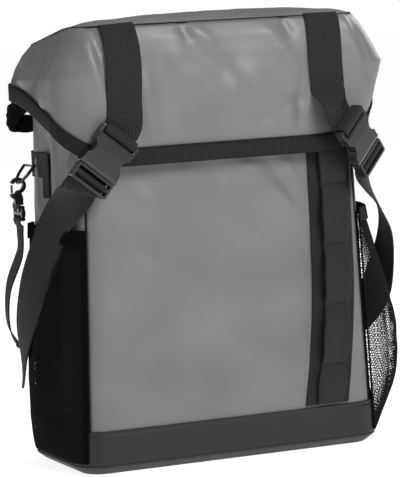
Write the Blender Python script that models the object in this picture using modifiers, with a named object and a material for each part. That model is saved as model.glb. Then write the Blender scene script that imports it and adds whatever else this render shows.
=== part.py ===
"""A bicycle pannier bag with a hood lid, side-release buckles and rack fittings.

Metres, +Z up. The origin is on the ground at the centre of the base. The front panel faces -Y, the
rack side faces +Y, and left and right are as seen from the front (left is -X).
"""

import math

import bmesh
import bpy
from mathutils import Matrix, Vector

# ---------------------------------------------------------------- driving dimensions

# The bag's walls, measured over their outer faces.
BASE_WIDTH = 0.339
MOUTH_WIDTH = 0.311
DEPTH = 0.158
WALL_HEIGHT = 0.395
CORNER_RADIUS = 0.030
FRONT_BULGE = 0.006
PANEL_THICKNESS = 0.0025

# Clearances.
GAP = 0.0004  # between pieces that are sewn or laid on each other
RUNNING_GAP = 0.0005  # between pieces that slide or turn on each other
SEAM_GAP = 0.0012  # between neighbouring wall panels, over the seam

# The moulded boot and the stiffeners.
BOOT_HEIGHT = 0.045
BOOT_THICKNESS = 0.0020
BOOT_CHAMFER_HEIGHT = 0.008
BOOT_CHAMFER_INSET = 0.012
BASE_BOARD_THICKNESS = 0.0025
BACK_BOARD_THICKNESS = 0.0024
BACK_BOARD_BELOW_MOUTH = 0.038
WALL_FOOT = 0.012  # where the walls end inside the boot

# The inner collar and its drawcord.
COLLAR_THICKNESS = 0.0012
COLLAR_OVERLAP = 0.029  # sewn length inside the mouth
COLLAR_RISE = 0.037
COLLAR_INSET = 0.020
CORD_DIAMETER = 0.003
CORD_LOCK_RADIUS = 0.008
CORD_LOCK_STANDOFF = 0.011  # how far the lock draws the cord off the collar
CORD_LOCK_HEIGHT = 0.018
CORD_BUTTON_RADIUS = 0.0055
CORD_BUTTON_HEIGHT = 0.0095
CORD_BUTTON_PROUD = 0.0055

# The hood lid, by how far it drops below the mouth and stands off the walls.
LID_THICKNESS = 0.0022
LID_RISE = 0.069
LID_DROP_FRONT = 0.0805
LID_SLUMP = 0.028  # how far the back left shoulder sinks
LID_DROP_CORNER = 0.050
LID_DROP_LEFT = 0.016
LID_DROP_RIGHT = 0.006
LID_DROP_BACK = 0.012
LID_STANDOFF_FRONT = 0.0165
LID_STANDOFF_BACK = 0.0085
LID_STANDOFF_LEFT = 0.0145
LID_STANDOFF_RIGHT = 0.046
LID_CORNER_RADIUS = 0.036
BINDING_HEIGHT = 0.017
BINDING_THICKNESS = 0.0012

# Webbing and straps.
WEBBING_WIDTH = 0.038
WEBBING_THICKNESS = 0.0016
SIDE_WEBBING_WIDTH = 0.020
UPPER_STRAP_INSET = 0.0425  # from the mouth's side to the strap's middle
DAISY_TACK_SPACING = 0.063
DAISY_STANDOFF = 0.0095
DAISY_BACKING_MARGIN = 0.012

# The side-release buckles, in their own frame: x across, y up the strap, z out of the bag.
BUCKLE_CHEEK = 0.004  # how far the buckle reaches past the webbing on each side
SOCKET_LENGTH = 0.046
BUCKLE_THICKNESS = 0.012
BUCKLE_WALL = 0.0055
SOCKET_CAVITY_DEPTH = 0.031
PLUG_BASE_LENGTH = 0.0174
PLUG_THICKNESS = 0.010
BLADE_WIDTH = 0.010
BLADE_THICKNESS = 0.006
PRONG_LENGTH = 0.0262
PRONG_THICKNESS = 0.0034
PRONG_HEAD = 0.0055
BUCKLE_LEAN = math.radians(39.0)
RIGHT_BUCKLE_TURN = math.radians(27.0)

# The mesh side pockets.
POCKET_BELOW_MOUTH = 0.145
POCKET_THICKNESS = 0.0012
LEFT_POCKET_BULGE = 0.018
RIGHT_POCKET_BULGE = 0.058
RIGHT_STRAP_BELLY = 0.016  # how far the right strap stands off the pocket, above its middle
STRAP_BELOW_MOUTH = 0.133  # where the lower strap comes round the front corner
STRAP_END_Z = 0.086
POCKET_HEM_HEIGHT = 0.015
POCKET_HEM_THICKNESS = 0.0010

# The rack fittings on the back.
RAIL_LENGTH = 0.260
RAIL_HEIGHT = 0.024
RAIL_THICKNESS = 0.0045
RAIL_CHANNEL_HEIGHT = 0.011
RAIL_CHANNEL_DEPTH = 0.0012
TOP_RAIL_BELOW_MOUTH = 0.073
LOWER_RAIL_Z = 0.115
LOWER_RAIL_LENGTH = 0.150
HOOK_SPACING = 0.150
HOOK_WIDTH = 0.024
HOOK_MOUTH = 0.0165
HOOK_WALL = 0.006
LATCH_ROOT = 0.0034  # the round root that turns on the pin
CARRIAGE_LENGTH = 0.028
CARRIAGE_LIP = 0.003
CARRIAGE_WALL = 0.0035
LOWER_HOOK_HUB = 0.011
LOWER_HOOK_THICKNESS = 0.006
SCREW_RADIUS = 0.002
SCREW_HEAD_RADIUS = 0.0042
SCREW_HEAD_HEIGHT = 0.0022
TOP_SCREW_SPACING = 0.228
LOWER_SCREW_SPACING = 0.134
HANDLE_SPAN = 0.092
HANDLE_RISE = 0.026
HANDLE_WIDTH = 0.022

# The side straps, their tabs and rings.
TAB_HEIGHTS = (0.117, 0.096, 0.0695)  # the hanging end, the fold and the top, below the mouth
TAB_FRONT_Y = 0.004
TAB_FOLD_Y = 0.040
RING_BELOW_MOUTH = 0.0845
RING_WIRE = 0.0017
RING_HALF_LENGTH = 0.0145
RING_DROP = 0.017
RING_STAND = 0.0135  # how far the ring's foot stands off the tab
HOOK_INNER = 0.0052
HOOK_OUTER = 0.0085
HOOK_PLATE = 0.0050
HOOK_SHANK = 0.0205
GATE_SEAT = -0.0082  # the shoulder that the gate turns on, below the hook's centre
GATE_LENGTH = 0.0086
GATE_RADIUS = 0.0012
SLIDER_WIDTH = 0.026
SLIDER_HEIGHT = 0.016
SLIDER_THICKNESS = 0.0036
SIDE_STRAP_THICKNESS = 0.0014
SIDE_STRAP_CLEAR = 0.007  # between the two straps where they end on the back edge
RIVET_RADIUS = 0.0028
RIVET_HEIGHT = 0.0016

# The daisy chain on the front.
DAISY_LEAN = 0.013  # how far its foot stands in from its top
DAISY_ABOVE_HEM = 0.019
DAISY_FIRST_TACK = 0.0892

# How finely the walls are divided.
FRONT_STEPS = 10
SIDE_STEPS = 6
CORNER_STEPS = 6

# Sizes and places that follow from these.
BUCKLE_WIDTH = WEBBING_WIDTH + 2 * BUCKLE_CHEEK
DAISY_BACKING_WIDTH = WEBBING_WIDTH + DAISY_BACKING_MARGIN
SIDE_STRAP_ANCHOR_Z = STRAP_END_Z + WEBBING_WIDTH / 2 + SIDE_STRAP_CLEAR
UPPER_STRAP_X = MOUTH_WIDTH / 2 - UPPER_STRAP_INSET
POCKET_TOP = WALL_HEIGHT - POCKET_BELOW_MOUTH
TOP_RAIL_Z = WALL_HEIGHT - TOP_RAIL_BELOW_MOUTH
RING_Z = WALL_HEIGHT - RING_BELOW_MOUTH
TAB_LOW, TAB_MIDDLE, TAB_HIGH = (WALL_HEIGHT - below for below in TAB_HEIGHTS)
TAB_BACK_Y = DEPTH / 2 - 0.012

# ---------------------------------------------------------------- scene and materials


def clear_scene():
    for obj in list(bpy.data.objects):
        bpy.data.objects.remove(obj, do_unlink=True)


def collection(name):
    made = bpy.data.collections.new(name)
    bpy.context.scene.collection.children.link(made)
    return made


clear_scene()
PARTS = collection("pannier_bag")
CUTTERS = collection("cutters")
CUTTERS.hide_render = True

COATED_GREY = ((0.165, 0.165, 0.170), 0.50, 0.0)
WEBBING_BLACK = ((0.012, 0.012, 0.013), 0.75, 0.0)
BOOT_CHARCOAL = ((0.016, 0.016, 0.018), 0.55, 0.0)
MESH_BLACK = ((0.008, 0.008, 0.008), 0.80, 0.0)
PLASTIC_BLACK = ((0.020, 0.020, 0.022), 0.32, 0.0)
BOARD_BLACK = ((0.020, 0.020, 0.020), 0.60, 0.0)
STEEL = ((0.55, 0.55, 0.56), 0.30, 1.0)
ALUMINIUM = ((0.50, 0.50, 0.51), 0.40, 1.0)
BLUE_PLASTIC = ((0.010, 0.065, 0.42), 0.40, 0.0)


def finish(obj, look):
    """Gives the object its own material and puts it with the parts."""
    colour, roughness, metallic = look
    material = bpy.data.materials.new(obj.name)
    material.use_nodes = True
    shader = material.node_tree.nodes["Principled BSDF"]
    shader.inputs["Base Color"].default_value = (*colour, 1.0)
    shader.inputs["Roughness"].default_value = roughness
    shader.inputs["Metallic"].default_value = metallic
    obj.data.materials.clear()
    obj.data.materials.append(material)
    if obj.type == "MESH":
        obj.data.shade_smooth()
        obj.data.set_sharp_from_angle(angle=math.radians(35))
    return obj


def place(name, mesh, look, matrix=None):
    obj = bpy.data.objects.new(name, mesh)
    if matrix is not None:
        obj.matrix_world = matrix
    PARTS.objects.link(obj)
    return finish(obj, look)


def pivot(name, position, parent=None):
    """An empty on a joint's axis, which the moving pieces hang from."""
    empty = bpy.data.objects.new(name, None)
    empty.empty_display_size = 0.02
    empty.matrix_world = Matrix.Translation(position)
    PARTS.objects.link(empty)
    if parent is not None:
        hang(empty, parent)
    return empty


def hang(obj, empty):
    bpy.context.view_layer.update()
    world = obj.matrix_world.copy()
    obj.parent = empty
    obj.matrix_parent_inverse = empty.matrix_world.inverted()
    obj.matrix_world = world
    return obj


# ---------------------------------------------------------------- shape helpers


def lerp(a, b, t):
    return a + (b - a) * t


def sheet(name, rows, thickness, side, look, closed=False, cap=None):
    """A cloth or moulded sheet: a grid of points, bottom row first, thickened to one side.

    side is +1 for outward, -1 for inward and 0 for both. cap closes the first or the last row.
    """
    columns = len(rows[0])
    verts = [point for row in rows for point in row]
    faces = []
    for r in range(len(rows) - 1):
        for c in range(columns if closed else columns - 1):
            low, high = r * columns, (r + 1) * columns
            right = (c + 1) % columns
            faces.append((low + c, low + right, high + right, high + c))
    if cap == "first":
        faces.append(tuple(reversed(range(columns))))
    elif cap == "last":
        top = (len(rows) - 1) * columns
        verts.append(sum((Vector(p) for p in rows[-1]), Vector()) / columns)
        for c in range(columns):
            faces.append((top + c, top + (c + 1) % columns, len(verts) - 1))
    mesh = bpy.data.meshes.new(name)
    mesh.from_pydata([tuple(v) for v in verts], [], faces)
    obj = place(name, mesh, look)
    solid = obj.modifiers.new("thickness", "SOLIDIFY")
    solid.thickness = thickness
    solid.offset = side
    solid.use_even_offset = True
    return obj


def smooth_path(points, steps):
    """Points along a Catmull-Rom curve through the given ones."""
    points = [Vector(p) for p in points]
    ends = [2 * points[0] - points[1]] + points + [2 * points[-1] - points[-2]]
    path = []
    for k in range(1, len(ends) - 2):
        before, a, b, after = ends[k - 1 : k + 3]
        for s in range(steps):
            t = s / steps
            path.append(
                0.5
                * (
                    2 * a
                    + (b - before) * t
                    + (2 * before - 5 * a + 4 * b - after) * t**2
                    + (3 * a - before - 3 * b + after) * t**3
                )
            )
    return path + [points[-1]]


def ribbon(name, path, normals, width, look, thickness=WEBBING_THICKNESS):
    """A strip of webbing whose middle follows the path, facing along the normals."""
    rows = []
    for k, point in enumerate(path):
        along = (path[min(k + 1, len(path) - 1)] - path[max(k - 1, 0)]).normalized()
        across = normals[k].cross(along).normalized()
        rows.append([point - across * width / 2, point, point + across * width / 2])
    return sheet(name, rows, thickness, 0, look)


def block_mesh(name, low, high):
    """A box between two corners."""
    low, high = Vector(low), Vector(high)
    mesh = bpy.data.meshes.new(name)
    bm = bmesh.new()
    bmesh.ops.create_cube(bm, size=1.0)
    bmesh.ops.scale(bm, vec=high - low, verts=bm.verts)
    bmesh.ops.translate(bm, vec=(low + high) / 2, verts=bm.verts)
    bm.to_mesh(mesh)
    bm.free()
    return mesh


def rod_mesh(name, radius, start, end, segments=20, end_radius=None):
    """A round bar, or a cone, from one point to another."""
    start, end = Vector(start), Vector(end)
    mesh = bpy.data.meshes.new(name)
    bm = bmesh.new()
    bmesh.ops.create_cone(
        bm,
        cap_ends=True,
        segments=segments,
        radius1=radius,
        radius2=radius if end_radius is None else end_radius,
        depth=(end - start).length,
    )
    turn = Vector((0, 0, 1)).rotation_difference(end - start).to_matrix().to_4x4()
    bmesh.ops.transform(bm, matrix=Matrix.Translation((start + end) / 2) @ turn, verts=bm.verts)
    bm.to_mesh(mesh)
    bm.free()
    return mesh


def bevel(obj, width, segments=2):
    rounding = obj.modifiers.new("rounding", "BEVEL")
    rounding.width = width
    rounding.segments = segments
    rounding.limit_method = "ANGLE"
    rounding.angle_limit = math.radians(50)
    return obj


def cut(obj, mesh, matrix=None, operation="DIFFERENCE"):
    """Cuts a mesh from the object, or joins it on."""
    cutter = bpy.data.objects.new("cutter_" + obj.name, mesh)
    if matrix is not None:
        cutter.matrix_world = matrix
    cutter.hide_render = True
    cutter.display_type = "WIRE"
    CUTTERS.objects.link(cutter)
    tool = obj.modifiers.new("cut", "BOOLEAN")
    tool.operation = operation
    tool.solver = "EXACT"
    tool.object = cutter
    return obj


def join(obj, mesh, matrix=None):
    return cut(obj, mesh, matrix, "UNION")


def mesh_of_curve(name, curve):
    """The curve's solid as a mesh, its caps welded on."""
    holder = bpy.data.objects.new(name + "_curve", curve)
    bpy.context.scene.collection.objects.link(holder)
    bpy.context.view_layer.update()
    graph = bpy.context.evaluated_depsgraph_get()
    mesh = bpy.data.meshes.new_from_object(holder.evaluated_get(graph))
    mesh.name = name
    bm = bmesh.new()
    bm.from_mesh(mesh)
    bmesh.ops.remove_doubles(bm, verts=bm.verts, dist=1e-6)
    bmesh.ops.recalc_face_normals(bm, faces=bm.faces)
    bm.to_mesh(mesh)
    bm.free()
    bpy.data.objects.remove(holder)
    return mesh


def plate_mesh(name, outlines, thickness):
    """A flat outline, with any holes as further outlines, extruded to both sides of z = 0."""
    curve = bpy.data.curves.new(name, "CURVE")
    curve.dimensions = "2D"
    curve.fill_mode = "BOTH"
    curve.extrude = thickness / 2
    for points in outlines:
        spline = curve.splines.new("POLY")
        spline.points.add(len(points) - 1)
        for point, (x, y) in zip(spline.points, points):
            point.co = (x, y, 0, 1)
        spline.use_cyclic_u = True
    return mesh_of_curve(name, curve)


def wire_mesh(name, points, radius, cyclic=False, resolution=2):
    """A round wire, cord or bar along the points."""
    curve = bpy.data.curves.new(name, "CURVE")
    curve.dimensions = "3D"
    curve.bevel_depth = radius
    curve.bevel_resolution = resolution
    curve.use_fill_caps = not cyclic
    spline = curve.splines.new("POLY")
    spline.points.add(len(points) - 1)
    for point, co in zip(spline.points, points):
        point.co = (*co, 1)
    spline.use_cyclic_u = cyclic
    return mesh_of_curve(name, curve)


def arc(centre, radius, start, end, steps):
    """Points on a flat arc, both ends included; the angles are in degrees."""
    points = []
    for k in range(steps + 1):
        angle = math.radians(lerp(start, end, k / steps))
        points.append((centre[0] + radius * math.cos(angle), centre[1] + radius * math.sin(angle)))
    return points


def axes_matrix(origin, x_axis, y_axis, z_axis):
    matrix = Matrix((x_axis, y_axis, z_axis)).transposed().to_4x4()
    matrix.translation = origin
    return matrix


# ---------------------------------------------------------------- the walls' common outline

RING = 2 * (FRONT_STEPS + SIDE_STEPS) + 4 * CORNER_STEPS
FRONT_RIGHT_SEAM = FRONT_STEPS + CORNER_STEPS // 2
BACK_RIGHT_SEAM = FRONT_RIGHT_SEAM + SIDE_STEPS + CORNER_STEPS
BACK_LEFT_SEAM = BACK_RIGHT_SEAM + FRONT_STEPS + CORNER_STEPS
FRONT_LEFT_SEAM = BACK_LEFT_SEAM + SIDE_STEPS + CORNER_STEPS


def half_width(z):
    """Half the width over the walls, which taper upwards."""
    return lerp(BASE_WIDTH, MOUTH_WIDTH, z / WALL_HEIGHT) / 2


def front_bulge(z):
    return FRONT_BULGE * max(0.0, math.sin(math.pi * z / WALL_HEIGHT))


def outline(half_x, half_y, radius, bulge=0.0, shift_x=0.0, shift_y=0.0):
    """A rounded rectangle's points, anticlockwise from the left end of its front face."""
    flat_x, flat_y = half_x - radius, half_y - radius
    corners = ((flat_x, -flat_y), (flat_x, flat_y), (-flat_x, flat_y), (-flat_x, -flat_y))
    ring = []
    for side in range(4):
        start_angle = -90 + 90 * side
        before = corners[side - 1]
        after = corners[side]
        out = Vector((math.cos(math.radians(start_angle)), math.sin(math.radians(start_angle))))
        steps = FRONT_STEPS if side % 2 == 0 else SIDE_STEPS
        for k in range(steps):
            t = k / steps
            x = lerp(before[0], after[0], t) + out.x * radius
            y = lerp(before[1], after[1], t) + out.y * radius
            if side == 0:
                y -= bulge * math.sin(math.pi * t)
            ring.append((x + shift_x, y + shift_y))
        for x, y in arc(after, radius, start_angle, start_angle + 90, CORNER_STEPS)[:-1]:
            ring.append((x + shift_x, y + shift_y))
    return ring


def wall_ring(z, offset=0.0):
    """The walls' outline at a height, moved outwards by offset."""
    return outline(
        half_width(z) + offset, DEPTH / 2 + offset, CORNER_RADIUS + offset, front_bulge(z)
    )


def span(ring, first, last, inset=0.0):
    """The points from one station of a ring to another, the two ends drawn in by inset."""
    points = [Vector(ring[k % RING]) for k in range(first, last + 1)]
    if inset:
        points[0] = points[0] + (points[1] - points[0]).normalized() * inset
        points[-1] = points[-1] + (points[-2] - points[-1]).normalized() * inset
    return points


def heights(low, high, steps):
    return [lerp(low, high, k / steps) for k in range(steps + 1)]


def wall_normal(x, y, z):
    """The way the wall faces next to a point."""
    core_x = half_width(z) - CORNER_RADIUS
    core_y = DEPTH / 2 - CORNER_RADIUS
    near = Vector((min(max(x, -core_x), core_x), min(max(y, -core_y), core_y), 0.0))
    return (Vector((x, y, 0.0)) - near).normalized()


# ---------------------------------------------------------------- walls, boot and stiffeners


def wall_panel(name, first, last):
    rows = []
    for z in heights(WALL_FOOT, WALL_HEIGHT, 9):
        rows.append([(p.x, p.y, z) for p in span(wall_ring(z), first, last, SEAM_GAP / 2)])
    return sheet(name, rows, PANEL_THICKNESS, -1, COATED_GREY)


def make_walls():
    wall_panel("front_panel", FRONT_LEFT_SEAM - RING, FRONT_RIGHT_SEAM)
    wall_panel("right_side_panel", FRONT_RIGHT_SEAM, BACK_RIGHT_SEAM)
    wall_panel("left_side_panel", BACK_LEFT_SEAM, FRONT_LEFT_SEAM)
    return wall_panel("back_panel", BACK_RIGHT_SEAM, BACK_LEFT_SEAM)


def make_boot():
    """The moulded boot: a shallow tray whose lower edge is chamfered in to a flat base."""
    face = GAP + BOOT_THICKNESS
    profile = [(0.0, face - BOOT_CHAMFER_INSET), (BOOT_CHAMFER_HEIGHT, face)]
    profile += [(z, face) for z in heights(BOOT_CHAMFER_HEIGHT, BOOT_HEIGHT, 3)[1:]]
    rows = [[(x, y, z) for x, y in wall_ring(z, offset)] for z, offset in profile]
    sheet("boot", rows, BOOT_THICKNESS, -1, BOOT_CHARCOAL, closed=True, cap="first")


def make_boards():
    """The stiffeners: a board lying in the boot, and one that backs the rack fittings."""
    low = BOOT_THICKNESS + GAP
    ring = wall_ring(0.0, BOOT_THICKNESS - BOOT_CHAMFER_INSET - 0.006)
    base = plate_mesh("base_board", [ring], BASE_BOARD_THICKNESS)
    lifted = Matrix.Translation((0, 0, low + BASE_BOARD_THICKNESS / 2))
    place("base_board", base, BOARD_BLACK, lifted)
    outer = DEPTH / 2 - PANEL_THICKNESS - GAP
    half_x = MOUTH_WIDTH / 2 - CORNER_RADIUS
    back = block_mesh(
        "back_board",
        (-half_x, outer - BACK_BOARD_THICKNESS, WALL_FOOT),
        (half_x, outer, WALL_HEIGHT - BACK_BOARD_BELOW_MOUTH),
    )
    return place("back_board", back, BOARD_BLACK)


COLLAR_OFFSET = -(PANEL_THICKNESS + GAP)
COLLAR_FOOT = WALL_HEIGHT - COLLAR_OVERLAP
CORD_Z = WALL_HEIGHT + COLLAR_RISE - 0.006


def collar_offset(z):
    """The collar hangs inside the mouth and is drawn in above it."""
    drawn = max(0.0, (z - WALL_HEIGHT) / COLLAR_RISE)
    return COLLAR_OFFSET - COLLAR_INSET * math.sin(drawn * math.pi / 2)


def make_collar():
    rows = []
    lower = heights(COLLAR_FOOT, WALL_HEIGHT, 2)
    for z in lower + heights(WALL_HEIGHT, WALL_HEIGHT + COLLAR_RISE, 4)[1:]:
        rows.append([(x, y, z) for x, y in wall_ring(min(z, WALL_HEIGHT), collar_offset(z))])
    sheet("collar", rows, COLLAR_THICKNESS, -1, COATED_GREY, closed=True)
    reach = collar_offset(CORD_Z) + CORD_DIAMETER / 2 + GAP + 0.0006
    front = -(DEPTH / 2 + reach)
    ring = wall_ring(WALL_HEIGHT, reach)
    away = front - CORD_LOCK_STANDOFF
    bow = [(-0.034, front), (-0.012, away), (0.012, away), (0.034, front)]
    around = [p for k, p in enumerate(ring) if k > FRONT_STEPS or abs(p[0]) > 0.045]
    before = [p for p in around if p[0] < 0 and p in ring[:FRONT_STEPS]]
    loop = before + bow + [p for p in around if p not in before]
    points = [(x, y, CORD_Z) for x, y in loop]
    cord = wire_mesh("drawcord", points, CORD_DIAMETER / 2, cyclic=True, resolution=1)
    place("drawcord", cord, WEBBING_BLACK)
    make_cord_lock(away)


def make_cord_lock(cord_y):
    """A sprung lock that the cord runs through, with a button in its top."""
    hole = CORD_DIAMETER / 2 + RUNNING_GAP
    low = CORD_Z - hole - 0.004
    high = low + CORD_LOCK_HEIGHT
    body = rod_mesh("cord_lock_body", CORD_LOCK_RADIUS, (0, 0, low), (0, 0, high), 24)
    here = Matrix.Translation((0, cord_y, 0))
    obj = place("cord_lock_body", body, PLASTIC_BLACK, here)
    reach = 2 * CORD_LOCK_RADIUS
    cord = rod_mesh("hole", hole, (-reach, cord_y, CORD_Z), (reach, cord_y, CORD_Z), 16)
    cut(obj, cord)
    floor = CORD_Z + hole + 0.0015
    well = CORD_BUTTON_RADIUS + RUNNING_GAP
    cut(obj, rod_mesh("well", well, (0, 0, floor), (0, 0, high + 0.01), 24), here)
    top = high + CORD_BUTTON_PROUD
    button = rod_mesh(
        "cord_lock_button", CORD_BUTTON_RADIUS, (0, 0, top - CORD_BUTTON_HEIGHT), (0, 0, top), 24
    )
    obj = place("cord_lock_button", button, PLASTIC_BLACK, here)
    bevel(obj, 0.0008, 1)
    hang(obj, pivot("cord_lock_button_slide", (here.translation.x, here.translation.y, top)))


# ---------------------------------------------------------------- the hood lid

HINGE_Y = DEPTH / 2 + LID_STANDOFF_BACK / 2 + 0.003
HINGE_Z = WALL_HEIGHT - LID_DROP_BACK

# Each section of the hood: how far below its crown, and how far it is drawn in from the hem's
# outline on the left, right, front and back.
LID_SECTIONS = (
    (LID_RISE + LID_DROP_FRONT, 0.000, 0.032, 0.000, 0.000),
    (LID_RISE + 0.030, 0.000, 0.014, 0.000, 0.000),
    (LID_RISE - 0.008, 0.001, 0.002, 0.001, 0.001),
    (0.042, 0.006, 0.011, 0.003, 0.002),
    (0.024, 0.013, 0.020, 0.007, 0.006),
    (0.011, 0.020, 0.028, 0.013, 0.013),
    (0.004, 0.031, 0.038, 0.022, 0.028),
    (0.001, 0.062, 0.070, 0.048, 0.052),
)


def lid_insets(z):
    """How far the hood is drawn in at a height, between its sections."""
    below = WALL_HEIGHT + LID_RISE - z
    for lower, upper in zip(LID_SECTIONS, LID_SECTIONS[1:]):
        if below >= upper[0]:
            t = (lower[0] - below) / (lower[0] - upper[0])
            return [lerp(a, b, max(0.0, t)) for a, b in zip(lower[1:], upper[1:])]
    return list(LID_SECTIONS[-1][1:])


def lid_ring(z, offset=0.0):
    left_in, right_in, front_in, back_in = lid_insets(z)
    half = half_width(WALL_HEIGHT - LID_DROP_BACK)
    left = half + LID_STANDOFF_LEFT - left_in + offset
    right = half + LID_STANDOFF_RIGHT - right_in + offset
    front = DEPTH / 2 + LID_STANDOFF_FRONT - front_in + offset
    back = DEPTH / 2 + LID_STANDOFF_BACK - back_in + offset
    half_x, half_y = (left + right) / 2, (front + back) / 2
    radius = LID_CORNER_RADIUS + offset
    shift_x, shift_y = (right - left) / 2, (back - front) / 2
    return outline(half_x, half_y, min(radius, half_y - 0.004), 0.0, shift_x, shift_y)


def hem_height(index):
    """The hem: low and level across the front, swept up the sides to the back."""
    index = index % RING
    right_start, right_end = FRONT_STEPS, FRONT_STEPS + 2 * CORNER_STEPS + SIDE_STEPS
    left_start = right_end + FRONT_STEPS
    if index <= right_start:
        drop = LID_DROP_FRONT
    elif index < right_end:
        t = (index - right_start) / (right_end - right_start)
        drop = swept_drop(t, LID_DROP_RIGHT)
    elif index <= left_start:
        drop = LID_DROP_BACK
    else:
        t = 1 - (index - left_start) / (RING - left_start)
        drop = swept_drop(t, LID_DROP_LEFT)
    return WALL_HEIGHT - drop


def swept_drop(t, side_drop):
    """From the front (t = 0) to the back (t = 1) of one side of the hem."""
    knots = (
        (0.0, LID_DROP_FRONT),
        (0.28, LID_DROP_CORNER),
        (0.60, side_drop),
        (1.0, LID_DROP_BACK),
    )
    for (t0, d0), (t1, d1) in zip(knots, knots[1:]):
        if t <= t1:
            return lerp(d0, d1, (t - t0) / (t1 - t0))
    return LID_DROP_BACK


def lid_point(index, z, offset=0.0):
    """A point of the hood; its back left shoulder slumps."""
    x, y = lid_ring(z, offset)[index % RING]
    across = min(1.0, max(0.0, (-x - 0.03) / 0.12))
    back = min(1.0, max(0.0, (y + 0.06) / 0.14))
    height = min(1.0, max(0.0, (z - WALL_HEIGHT) / LID_RISE))
    return (x, y, z - LID_SLUMP * across**2 * back * height)


def lid_front(x, z, offset):
    """A point of the hood's front at a place across it, moved outwards by offset."""
    ring = lid_ring(z, offset)
    front = [ring[k % RING] for k in range(-CORNER_STEPS, FRONT_STEPS + CORNER_STEPS + 1)]
    for (x0, y0), (x1, y1) in zip(front, front[1:]):
        if x0 <= x <= x1:
            return Vector((x, lerp(y0, y1, (x - x0) / (x1 - x0)), z))
    return Vector((x, -DEPTH / 2, z))


def make_lid(hinge):
    rows = [[lid_point(k, hem_height(k)) for k in range(RING)]]
    rows.append([lid_point(k, hem_height(k) + BINDING_HEIGHT) for k in range(RING)])
    above_hem = WALL_HEIGHT - min(LID_DROP_RIGHT, LID_DROP_LEFT, LID_DROP_BACK) + BINDING_HEIGHT
    crown = WALL_HEIGHT + LID_RISE
    levels = [above_hem + 0.006] + [crown - section[0] for section in LID_SECTIONS[3:]]
    for z in levels:
        rows.append([lid_point(k, z) for k in range(RING)])
    lid = sheet("lid_shell", rows, LID_THICKNESS, -1, COATED_GREY, closed=True, cap="last")
    hang(lid, hinge)
    first = FRONT_STEPS + 2 * CORNER_STEPS + SIDE_STEPS
    around = list(range(first + FRONT_STEPS, RING + first + 1))
    rows = [
        [lid_point(k, hem_height(k) + rise, GAP) for k in around]
        for rise in (0.0, BINDING_HEIGHT / 2, BINDING_HEIGHT)
    ]
    hang(sheet("lid_binding", rows, BINDING_THICKNESS, 1, WEBBING_BLACK), hinge)


# ---------------------------------------------------------------- buckles and their straps

STRAP_CLEAR = BUCKLE_THICKNESS / 2 + GAP + WEBBING_THICKNESS
HEM_Z = WALL_HEIGHT - LID_DROP_FRONT
LID_FRONT = DEPTH / 2 + LID_STANDOFF_FRONT + BINDING_THICKNESS + GAP
BUCKLE_Z = HEM_Z + 0.0135


def buckle_frame(side):
    """The buckle's place: on the lid's front corner, its strap leaning out and down."""
    turn = RIGHT_BUCKLE_TURN if side > 0 else 0.0
    out = Vector((side * math.sin(turn), -math.cos(turn), 0.0))
    level = Vector((-side * math.cos(turn), -math.sin(turn), 0.0))
    up = level * math.sin(BUCKLE_LEAN) + Vector((0, 0, 1)) * math.cos(BUCKLE_LEAN)
    x = side * (UPPER_STRAP_X + 0.0245)
    y = -(LID_FRONT + STRAP_CLEAR + WEBBING_THICKNESS + 0.0005)
    if side > 0:
        y -= 0.0032
    return axes_matrix(Vector((x, y, BUCKLE_Z)), up.cross(out), up, out)


def rounded_box(half_x, low_y, high_y, radius):
    """The outline of a plate with round corners."""
    points = []
    for x, y, angle in (
        (half_x, low_y, 270),
        (half_x, high_y, 0),
        (-half_x, high_y, 90),
        (-half_x, low_y, 180),
    ):
        centre = (x - math.copysign(radius, x), y + radius if y == low_y else y - radius)
        points += arc(centre, radius, angle, angle + 90, 3)
    return points


SOCKET_LOW, SOCKET_HIGH = -SOCKET_LENGTH / 2, SOCKET_LENGTH / 2
CAVITY_HALF_X = BUCKLE_WIDTH / 2 - BUCKLE_WALL
CAVITY_HALF_Z = BLADE_THICKNESS / 2 + 0.0012
STRAP_SLOT_HALF = WEBBING_WIDTH / 2 + 0.0006
SOCKET_BAR = 0.0045
SOCKET_SLOT = 0.0050


def side_view(frame):
    """The buckle's frame turned so that a profile drawn along y and z is extruded across it."""
    across = (0, 0, 1, 0), (1, 0, 0, 0), (0, 1, 0, 0), (0, 0, 0, 1)
    return frame @ Matrix(across)


def domed(obj, low, high, middle, frame, ends, width):
    """Thins a plate towards its two ends, so that its faces are domed along their length."""
    top = [(low - 0.001, ends / 2), (low + 0.004, middle / 2 - 0.0002)]
    top += [(lerp(low, high, 0.5), middle / 2)]
    top += [(high - 0.012, middle / 2 - 0.0003), (high + 0.001, ends / 2)]
    profile = top + [(y, -z) for y, z in reversed(top)]
    cut(obj, plate_mesh("dome", [profile], width), side_view(frame), "INTERSECT")


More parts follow.
